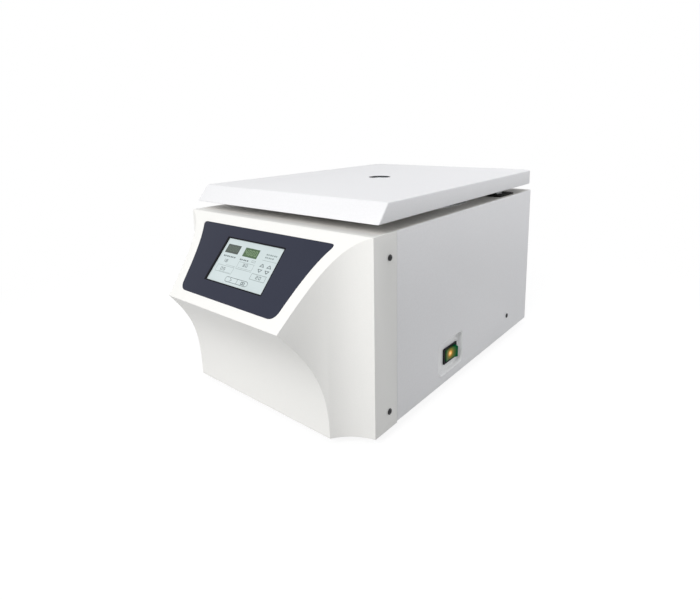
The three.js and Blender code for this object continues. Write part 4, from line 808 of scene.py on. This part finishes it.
def panel_form(name, rear, depth):
    """The panel's form back to a rear, with its faces moved in by depth."""
    plan = mirrored([(HALF_WIDTH, rear)] + FLANK)
    side = [(rear, BODY_HEIGHT), (0.0, BODY_HEIGHT)] + CHIN + [(rear, 0.0)]
    form = prism(name, inset(plan, depth), "z", -OVERRUN, BODY_HEIGHT + OVERRUN)
    return combine(form, prism("tool", inset(side, depth), "x", -BODY_WIDTH, BODY_WIDTH), "INTERSECT")


def whole_slab(front, rear):
    """A cutting tool over the machine's whole width and height."""
    return block("tool", (-BODY_WIDTH, BODY_WIDTH), (front, rear), (-2 * OVERRUN, BODY_HEIGHT + 2 * OVERRUN))


def on_face(x, t, w):
    """A place on the display face: x across, t up the slope from its top edge, w out of the face."""
    c, s = math.cos(FACE_LEAN), math.sin(FACE_LEAN)
    return (x, t * s - w * c, BODY_HEIGHT + t * c + w * s)


def beyond(a, b, reach):
    """The place that lies a reach past b on the line from a."""
    share = reach / math.hypot(b[0] - a[0], b[1] - a[1])
    return (b[0] + (b[0] - a[0]) * share, b[1] + (b[1] - a[1]) * share)


def crossing(points, t):
    """Where a falling line of points passes the height t."""
    for (u0, v0), (u1, v1) in zip(points, points[1:]):
        if v1 <= t:
            return u0 + (u1 - u0) * (t - v0) / (v1 - v0)
    return points[-1][0]


def overlay_outline(grow):
    """The overlay's outline, which keeps a margin from the face's curved sides."""
    slope = [(x, y / math.sin(FACE_LEAN)) for x, y in FLANK]
    first, last = (beyond(a, b, 2 * OVERLAY_MARGIN) for a, b in ((slope[1], slope[0]), slope[-2:]))
    edge = [first] + slope + [last]
    side = inset(mirrored(edge), OVERLAY_MARGIN - grow)[:len(edge)]
    top, bottom = grow - OVERLAY_TOP, -OVERLAY_BOTTOM - grow
    high, low = top - OVERLAY_TOP_RADIUS, bottom + OVERLAY_BOTTOM_RADIUS
    top_x, bottom_x = crossing(side, top), crossing(side, bottom)
    top_end, bottom_end = (top_x - OVERLAY_TOP_RADIUS, top), (bottom_x - OVERLAY_BOTTOM_RADIUS, bottom)
    right = quarter(top_end, (top_x, top), (crossing(side, high), high))
    right += [(x, t) for x, t in side if low < t < high]
    right += quarter((crossing(side, low), low), (bottom_x, bottom), bottom_end)
    return mirrored(right)


def face_rect(rim, left=0.0):
    """The screen's rectangle on the display face, larger by rim all round and by left on its left."""
    middle = -(SCREEN_TOP + SCREEN_HEIGHT / 2)
    half_width, half_height = SCREEN_WIDTH / 2 + rim, SCREEN_HEIGHT / 2 + rim
    return rect(-half_width - left, middle - half_height, half_width, middle + half_height)


def face_tool(outline, floor=-2 * OVERRUN):
    return prism("tool", outline, on_face, floor, OVERRUN)


def screw_hole(y, z):
    hole = circle(y, z, SCREW_HOLE_RADIUS, HOLE_STEPS)
    return prism("tool", hole, "x", -HALF_WIDTH - OVERRUN, HALF_WIDTH + OVERRUN)


def build_front_panel():
    behind = SIDE_RETURN + 6 * OVERRUN
    panel = clean(panel_form("front_panel_fine", behind, 0.0), CURVE_FLAT_ANGLE)
    bake(rounded(panel, PANEL_EDGE, segments=4, angle=PANEL_ANGLE))
    inner = HALF_WIDTH - PANEL_WALL
    ledge = BODY_HEIGHT - DECK_SHEET - SEAT_GAP
    cut(
        panel,
        whole_slab(SIDE_RETURN, behind + OVERRUN),
        panel_form("tool", SIDE_RETURN + PANEL_WALL + OVERRUN, PANEL_WALL),
        block("tool", (-inner, inner), (LEDGE_DEPTH, SIDE_RETURN + OVERRUN), (ledge, BODY_HEIGHT + OVERRUN)),
        face_tool(overlay_outline(SEAT_GAP), SCREEN_LEVEL),
        face_tool(face_rect(GLASS_RIM + SEAT_GAP)),
        *[screw_hole(y, z) for _, y, z in SCREWS[:2]],
    )
    smooth(panel, PANEL_ANGLE)
    finish(panel, "base", "white_plastic", white_plastic, "front_panel")


def build_overlay():
    overlay = prism("overlay_fine", overlay_outline(OVERLAY_GROWTH), on_face, -OVERLAY_THICK, 0.0)
    cut(overlay, face_tool(face_rect(SCREEN_FRAME + FRAME_GAP, SCREEN_FRAME)))
    rounded(clean(overlay), OVERLAY_EDGE)
    smooth(overlay)
    finish(overlay, "base", "navy_overlay", navy_film, "control_overlay")


def build_display_frame():
    """The black border between the overlay and the display's lit area. Its wider left side is also a painted
    shadow of the overlay's edge on the sunken screen.
    """
    outline = face_rect(SCREEN_FRAME, SCREEN_FRAME)
    border = prism("display_frame_painted_shadow", outline, on_face, SCREEN_LEVEL + FRAME_DROP, -FRAME_DROP)
    cut(border, face_tool(face_rect(0.0)))
    smooth(rounded(clean(border), SCREEN_FRAME_EDGE))
    finish(border, "base", "black_plastic", black_frame)


# Display

# Places and sizes are shares of the lit area's width and height, from its upper left corner. Boxes and rules
# are their left, top, right and bottom, and frames add their line. Figures are their text, left, top, width
# and height. Print is its left, top, width and number of bars. The ring adds its corner radius and its line.
BLOCK_BOX = (0.045, 0.128, 0.29, 0.33)
GREEN_BOX = (0.377, 0.13, 0.633, 0.335)
BLOCK_FIGURES = ("0000", 0.07, 0.17, 0.21, 0.115)
GREEN_FIGURES = ("4000", 0.40, 0.17, 0.225, 0.12)
FIGURES = (
    ("18", 0.10, 0.475, 0.10, 0.07),
    ("05", 0.135, 0.66, 0.10, 0.07),
    ("30", 0.475, 0.485, 0.10, 0.065),
    ("20", 0.78, 0.66, 0.10, 0.07),
)
RULES = (
    (0.19, 0.592, 0.365, 0.598),
    (0.11, 0.752, 0.335, 0.758),
    (0.415, 0.59, 0.65, 0.596),
    (0.74, 0.314, 0.975, 0.321),
)
FRAMES = (
    (0.584, 0.375, 0.65, 0.42, 0.005),
    (0.05, 0.62, 0.36, 0.775, 0.004),
    (0.385, 0.46, 0.66, 0.625, 0.004),
    (0.69, 0.63, 0.94, 0.765, 0.006),
)
GREY_PRINT = ((0.76, 0.17, 0.19, 6), (0.76, 0.235, 0.15, 5))
DARK_PRINT = ((0.063, 0.39, 0.23, 7), (0.375, 0.395, 0.16, 5))
PRINT_HEIGHT = 0.032
PRINT_FILLS = (0.78, 0.6)
ARROW_COLUMNS = (0.742, 0.862)
ARROW_WIDTH = 0.08
ARROW_LINE = 0.007
ARROW_TIPS_AND_FEET = ((0.395, 0.465), (0.585, 0.515))
BUTTON_RING = (0.31, 0.825, 0.715, 0.942, 0.032, 0.0065)
BUTTON_SPLIT = (0.521, 0.83, 0.527, 0.938)
CHEVRON_LEFT = 0.385
CHEVRON_RIGHT = 0.42
CHEVRON_LINE = 0.012
CHEVRON_TOP = 0.845
CHEVRON_MIDDLE = 0.883
CHEVRON_BOTTOM = 0.921
ICON_FRAME = (0.597, 0.855, 0.665, 0.918, 0.009)
ICON_DOT = (0.622, 0.876, 0.640, 0.896)
FIGURE_FILL = 0.68
FIGURE_STROKE = 0.2

# A share of the width times this is the same length as a share of the height
SCREEN_RATIO = SCREEN_WIDTH / SCREEN_HEIGHT

# The lit bars of a seven-segment figure, lettered clockwise from its top, with g in its middle
SEGMENTS = {
    "0": "abcdef", "1": "bc", "2": "abged", "3": "abgcd", "4": "fgbc",
    "5": "afgcd", "6": "afgedc", "7": "abc", "8": "abcdefg", "9": "abcdfg",
}

# How far marks and figures stand up from the screen, and how far they reach into it
MARK_LEVEL = 0.03
FIGURE_LEVEL = 0.05
MARK_ROOT = 0.05


def screen_place(u, v):
    return (SCREEN_WIDTH * (u - 0.5), -SCREEN_TOP - SCREEN_HEIGHT * v)


def screen_patch(name, shapes, material, level=MARK_LEVEL):
    """Thin flat shapes lying on the screen. A shape is a list of (u, v) shares of its width and height."""
    corners, faces = [], []
    low, high = SCREEN_LEVEL - MARK_ROOT, SCREEN_LEVEL + level
    for shape in shapes:
        outline = [screen_place(u, v) for u, v in shape]
        more_corners, more_faces = pulled(outline, on_face, low, high, len(corners))
        corners += more_corners
        faces += more_faces
    piece = mesh_object(name, corners, faces)
    return finish(piece, "base", "screen_glass", material)


def frame_lines(u0, v0, u1, v1, line):
    tall = line * SCREEN_RATIO
    return [
        rect(u0, v0, u1, v0 + tall), rect(u0, v1 - tall, u1, v1),
        rect(u0, v0 + tall, u0 + line, v1 - tall), rect(u1 - line, v0 + tall, u1, v1 - tall),
    ]


def digits(text, u, v, width, height):
    """Seven-segment figures in a row, each in its own cell."""
    shapes = []
    cell = width / len(text)
    across = cell * FIGURE_FILL * FIGURE_STROKE
    down = across * SCREEN_RATIO
    middle, bottom = v + height / 2, v + height
    for i, figure in enumerate(text):
        left = u + i * cell
        right = left + cell * FIGURE_FILL
        bars = {
            "a": rect(left, v, right, v + down),
            "b": rect(right - across, v, right, middle),
            "c": rect(right - across, middle, right, bottom),
            "d": rect(left, bottom - down, right, bottom),
            "e": rect(left, middle, left + across, bottom),
            "f": rect(left, v, left + across, middle),
            "g": rect(left, middle - down / 2, right, middle + down / 2),
        }
        shapes += [bars[key] for key in SEGMENTS[figure]]
    return shapes


def ring_shapes(u0, v0, u1, v1, radius, line):
    """A rounded frame as a strip of quads."""
    def outline(shrink):
        width, height = u1 - u0 - 2 * shrink, (v1 - v0) / SCREEN_RATIO - 2 * shrink
        points = rounded_rect((u0 + u1) / 2, 0.0, width, height, radius - shrink, RING_STEPS)
        return [(u, (v0 + v1) / 2 + t * SCREEN_RATIO) for u, t in points]

    outer, inner = outline(0.0), outline(line)
    return [[outer[i - 1], outer[i], inner[i], inner[i - 1]] for i in range(len(outer))]


def dashes(u, v, width, count):
    """A row of short bars that stands for a line of small print."""
    step = width / count
    starts = [u + i * step for i in range(count)]
    return [rect(s, v, s + PRINT_FILLS[i % 2] * step, v + PRINT_HEIGHT) for i, s in enumerate(starts)]


def open_arrow(u0, u1, tip, foot):
    """The outline of a triangle from its tip to its foot."""
    middle, line = (u0 + u1) / 2, ARROW_LINE
    tall = math.copysign(line * SCREEN_RATIO, foot - tip)
    return [
        [(u0, foot), (u0 + 2 * line, foot), (middle + line, tip), (middle - line, tip)],
        [(u1, foot), (u1 - 2 * line, foot), (middle - line, tip), (middle + line, tip)],
        [(u0, foot), (u1, foot), (u1 - line, foot - tall), (u0 + line, foot - tall)],
    ]


def chevron():
    """An arrow head that points right, as two slanting bars."""
    left, right = CHEVRON_LEFT, CHEVRON_RIGHT
    return [
        [(left, v), (left + CHEVRON_LINE, v), (right + CHEVRON_LINE, CHEVRON_MIDDLE), (right, CHEVRON_MIDDLE)]
        for v in (CHEVRON_TOP, CHEVRON_BOTTOM)
    ]


def each(make, rows):
    """The shapes that a function makes of each row of its arguments."""
    return [shape for row in rows for shape in make(*row)]


def build_screen():
    ground = prism("display_ground", face_rect(GLASS_RIM), on_face, SCREEN_LEVEL - GLASS_THICK, SCREEN_LEVEL)
    finish(ground, "base", "screen_glass", display_ground, "touch_screen")
    screen_patch("display_block", [rect(*BLOCK_BOX)], ink_block)
    screen_patch("display_green", [rect(*GREEN_BOX)], ink_green)
    screen_patch("display_block_figures", digits(*BLOCK_FIGURES), ink_faint, FIGURE_LEVEL)
    screen_patch("display_green_figures", digits(*GREEN_FIGURES), ink_pale, FIGURE_LEVEL)
    lines = [rect(*rule) for rule in RULES] + each(frame_lines, FRAMES) + each(dashes, GREY_PRINT)
    screen_patch("display_lines", lines, ink_grey)
    arrows = [(u, u + ARROW_WIDTH, tip, foot) for u in ARROW_COLUMNS for tip, foot in ARROW_TIPS_AND_FEET]
    marks = each(dashes, DARK_PRINT) + each(digits, FIGURES) + each(open_arrow, arrows)
    marks += ring_shapes(*BUTTON_RING) + [rect(*BUTTON_SPLIT)] + chevron()
    marks += frame_lines(*ICON_FRAME) + [rect(*ICON_DOT)]
    screen_patch("display_marks", marks, ink_dark)


# Housing, deck and tray

def rear_outline(front, half, rear, radius):
    """A plan with a straight front and two rounded rear corners."""
    return mirrored([(half, front)] + arc(half - radius, rear - radius, radius, 0, 90, REAR_CORNER_STEPS))


def rear_tool(x, z):
    """A cutting tool through the housing's back."""
    return block("tool", x, (BODY_DEPTH - 2 * OVERRUN, BODY_DEPTH + OVERRUN), z)


def build_housing():
    front = SIDE_RETURN + SEAM_GAP
    early = front - 4 * OVERRUN
    plan = rear_outline(early, HALF_WIDTH, BODY_DEPTH, REAR_CORNER_RADIUS)
    wrap = prism("housing_fine", plan, "z", HOUSING_LIFT, BODY_HEIGHT)
    bake(rounded(wrap, HOUSING_EDGE, segments=3, angle=HOUSING_ANGLE))
    flange_top = BODY_HEIGHT - DECK_SHEET - SEAT_GAP
    inner = HALF_WIDTH - SHEET
    rear = BODY_DEPTH - SHEET
    hollow = rear_outline(early - OVERRUN, inner, rear, REAR_CORNER_RADIUS)
    narrow = rear_outline(early - OVERRUN, inner - DECK_FLANGE, rear - DECK_FLANGE, REAR_CORNER_RADIUS)
    vents = [VENT_BOTTOM + VENT_STEP * i for i in range(VENT_COUNT)]
    cut(
        wrap,
        whole_slab(early - OVERRUN, front),
        prism("tool", hollow, "z", HOUSING_LIFT - OVERRUN, flange_top - SHEET),
        prism("tool", hollow, "z", flange_top, BODY_HEIGHT + OVERRUN),
        prism("tool", narrow, "z", flange_top - OVERRUN, flange_top + OVERRUN),
        prism("tool", rounded_rect(*RECESS), "x", HALF_WIDTH - 2 * OVERRUN, HALF_WIDTH + OVERRUN),
        rear_tool((INLET_X - INLET_HALF_WIDTH, INLET_X + INLET_HALF_WIDTH),
                  (INLET_Z - INLET_HALF_HEIGHT, INLET_Z + INLET_HALF_HEIGHT)),
        screw_hole(*SCREWS[2][1:]),
        *[rear_tool((VENT_START, VENT_END), (z, z + VENT_HEIGHT)) for z in vents],
    )
    smooth(wrap)
    finish(wrap, "base", "white_paint", white_paint, "housing_wrap")
    refined("top_deck", deck_paint_painted_light, FINE_EDGE)
    refined("base_pan", zinc, FINE_EDGE)


# Lid and sight port

def lid_form(name, depth, bottom):
    """The lid's form down to a bottom, with its faces moved in by depth."""
    foot = LID_FRONT - (LID_BOTTOM - bottom) * LID_BEVEL_RUN / LID_HEIGHT
    profile = [(foot, bottom), (LID_FRONT + LID_BEVEL_RUN, LID_TOP), (LID_REAR, LID_TOP), (LID_REAR, bottom)]
    plan = rear_outline(foot - OVERRUN, LID_HALF, LID_REAR, LID_CORNER)
    form = prism(name, inset(plan, depth), "z", bottom, LID_TOP + OVERRUN)
    return combine(form, prism("tool", inset(profile, depth), "x", -BODY_WIDTH, BODY_WIDTH), "INTERSECT")


def build_lid():
    lid = clean(lid_form("lid_fine", 0.0, LID_BOTTOM), CURVE_FLAT_ANGLE)
    bake(rounded(lid, LID_EDGE, segments=4))
    port = circle(0, CHAMBER_Y, PORT_RADIUS, PORT_STEPS)
    cut(
        lid,
        lid_form("tool", LID_WALL, LID_BOTTOM - 2 * LID_WALL),
        prism("tool", port, "z", LID_BOTTOM - OVERRUN, LID_TOP + OVERRUN),
    )
    smooth(lid)
    finish(lid, "lid", "white_paint", white_paint, "lid_shell")
    refined("lid_liner", stainless, FINE_EDGE)


def build_port():
    outer = PORT_RADIUS - SEAT_GAP
    inner = outer - PORT_WALL
    seat = inner - PORT_SEAT
    lip = outer + PORT_LIP
    glass_top = LID_TOP - WINDOW_DROP
    glass_bottom = glass_top - WINDOW_THICK
    floor = glass_bottom - SEAT_GAP
    lip_top = LID_TOP - LID_WALL - SEAT_GAP
    lip_bottom = lip_top - PORT_LIP_THICK
    bottom = LID_BOTTOM - PORT_DROP
    sleeve = lathe("port_sleeve_fine", [
        (seat, bottom), (outer, bottom), (outer, lip_bottom), (lip, lip_bottom), (lip, lip_top),
        (outer, lip_top), (outer, LID_TOP), (inner, LID_TOP), (inner, floor), (seat, floor),
    ], PORT_STEPS, (0, CHAMBER_Y))
    smooth(rounded(sleeve, SMALL_EDGE))
    finish(sleeve, "lid", "black_plastic", black_plastic, "port_sleeve")
    radius = inner - SEAT_GAP
    profile = [(0, glass_bottom), (radius, glass_bottom), (radius, glass_top), (0, glass_top)]
    window = lathe("port_window_fine", profile, PORT_STEPS, (0, CHAMBER_Y))
    smooth(rounded(window, FINE_EDGE))
    finish(window, "lid", "clear_window", sight_glass, "port_window")


# Switch

def roll_lip(recess):
    """Rounds the recess's inner edge where it meets the housing's side."""
    y, z, length, height, radius = RECESS
    straight_length, straight_height = length / 2 - radius, height / 2 - radius

    def on_lip(corner):
        place = corner.co / MM - SHIFT
        across = max(abs(place.y - y) - straight_length, 0.0)
        along = max(abs(place.z - z) - straight_height, 0.0)
        level = abs(place.x - HALF_WIDTH) * MM < 10 * WELD
        return level and math.hypot(across, along) < radius - LIP_BAND

    form = bmesh.new()
    form.from_mesh(recess.data)
    lip = [edge for edge in form.edges if all(on_lip(corner) for corner in edge.verts)]
    bmesh.ops.bevel(
        form, geom=lip, offset=RECESS_ROLL * MM, segments=LIP_STEPS, profile=0.5, affect="EDGES",
        clamp_overlap=True
    )
    form.to_mesh(recess.data)
    form.free()
    smooth(recess, SWITCH_ANGLE)


def build_rocker():
    """The rocker, drawn from above about its pivot and tilted there."""
    pivot_x = HALF_WIDTH - RECESS_DEPTH + SEAT_GAP + BEZEL_THICK - ROCKER_SINK
    tilt = math.radians(ROCKER_TILT)

    def put(u, v, w):
        x = u * math.cos(tilt) - v * math.sin(tilt)
        y = u * math.sin(tilt) + v * math.cos(tilt)
        return (pivot_x + x, SWITCH_Y + y, SWITCH_Z + w)

    back = arc(0, 0, ROCKER_RADIUS, 180 - ROCKER_HALF_ANGLE, 180 + ROCKER_HALF_ANGLE, ROCKER_STEPS)
    face = quarter(back[-1], (ROCKER_SADDLE, 0.0), back[0], SADDLE_STEPS)[1:-1]
    rocker = prism("rocker_fine", face + back, put, -ROCKER_HALF_HEIGHT, ROCKER_HALF_HEIGHT)
    smooth(rounded(rocker, ROCKER_EDGE, segments=3, angle=SWITCH_ANGLE))
    lamp = point(*put(*LAMP_PLACE))
    finish(rocker, "power_rocker", "green_rocker", rocker_material(lamp), "power_rocker")


def build_switch():
    roll_lip(refined("switch_recess", recess_paint_painted_light, RECESS_EDGE, SWITCH_ANGLE))
    refined("switch_body", black_frame, SMALL_EDGE, SWITCH_ANGLE)
    build_rocker()


# Screws and feet

def build_screw(level, y, z, side, sign):
    def out(height):
        return sign * (HALF_WIDTH + SEAT_GAP + height)

    profile = [(0, out(-SCREW_SHANK)), (SCREW_SHANK_RADIUS, out(-SCREW_SHANK)), (SCREW_SHANK_RADIUS, out(0))]
    profile += [(SCREW_HEAD_RADIUS, out(0)), (SCREW_HEAD_RADIUS, out(SCREW_RIM))]
    for angle in DOME_ANGLES:
        height = SCREW_RIM + SCREW_DOME * math.sin(angle)
        profile.append((SCREW_HEAD_RADIUS * math.cos(angle), out(height)))
    profile.append((0, out(SCREW_RIM + SCREW_DOME)))
    screw = lathe(f"screw_{level}_{side}", profile, SCREW_STEPS, (y, z), "x")
    depth = sorted((out(CROSS_FLOOR), out(OVERRUN)))
    for across, along in ((CROSS_REACH, CROSS_HALF_WIDTH), (CROSS_HALF_WIDTH, CROSS_REACH)):
        cut(screw, block("tool", depth, (y - across, y + across), (z - along, z + along)))
    smooth(screw)
    finish(screw, "base", "black_plastic", black_screw, f"side_screw_{level}_{side}")


def build_screws():
    for side, sign in SIDES:
        for level, y, z in SCREWS:
            build_screw(level, y, z, side, sign)


def build_feet():
    profile = [
        (0, FOOT_HOLLOW_TOP), (FOOT_HOLLOW_RADIUS, FOOT_HOLLOW_TOP), (FOOT_HOLLOW_RADIUS, FOOT_BOTTOM),
        (FOOT_SOLE_RADIUS, FOOT_BOTTOM), (FOOT_SOLE_RADIUS + FOOT_CHAMFER, FOOT_BOTTOM + FOOT_CHAMFER),
        (FOOT_RADIUS, FOOT_TOP), (0, FOOT_TOP),
    ]
    for i, place in enumerate(FEET):
        foot = lathe(f"foot_{i + 1}_fine", profile, FOOT_STEPS, place)
        smooth(rounded(foot, SMALL_EDGE))
        finish(foot, "base", "black_rubber", black_rubber, f"foot_{i + 1}")


# Everything that the CAD shape already serves, with its edges rounded

def build_rest():
    looks = {
        "display_module": zinc, "chamber_wall": stainless, "chamber_floor": stainless,
        "chamber_gasket": black_rubber, "motor_plate": zinc, "motor": motor_enamel, "drive_shaft": bright_pin,
        "rotor_cross": anodised, "rotor_nut": black_plastic, "lock_housing": black_plastic,
        "lock_bolt": bright_pin, "lid_striker": bright_pin, "mains_inlet": black_plastic,
        "drive_unit": anodised,
    }
    for i in range(MOUNT_COUNT):
        looks[f"motor_mount_{i + 1}"] = black_rubber
    for i in range(BUCKET_COUNT):
        looks[f"bucket_{i + 1}"] = anodised
    for side, _ in SIDES:
        looks |= {
            f"hinge_base_{side}": zinc, f"hinge_leaf_{side}": zinc, f"hinge_pin_{side}": bright_pin,
            f"spring_anchor_{side}": zinc, f"spring_tube_{side}": black_plastic,
            f"spring_rod_{side}": bright_pin, f"spring_bracket_{side}": zinc,
            f"spring_grommet_{side}": black_rubber,
        }
    for node, material in looks.items():
        refined(node, material)


build_camera()
build_stage()
build_front_panel()
build_overlay()
build_display_frame()
build_screen()
build_housing()
build_lid()
build_port()
build_switch()
build_screws()
build_feet()
build_rest()
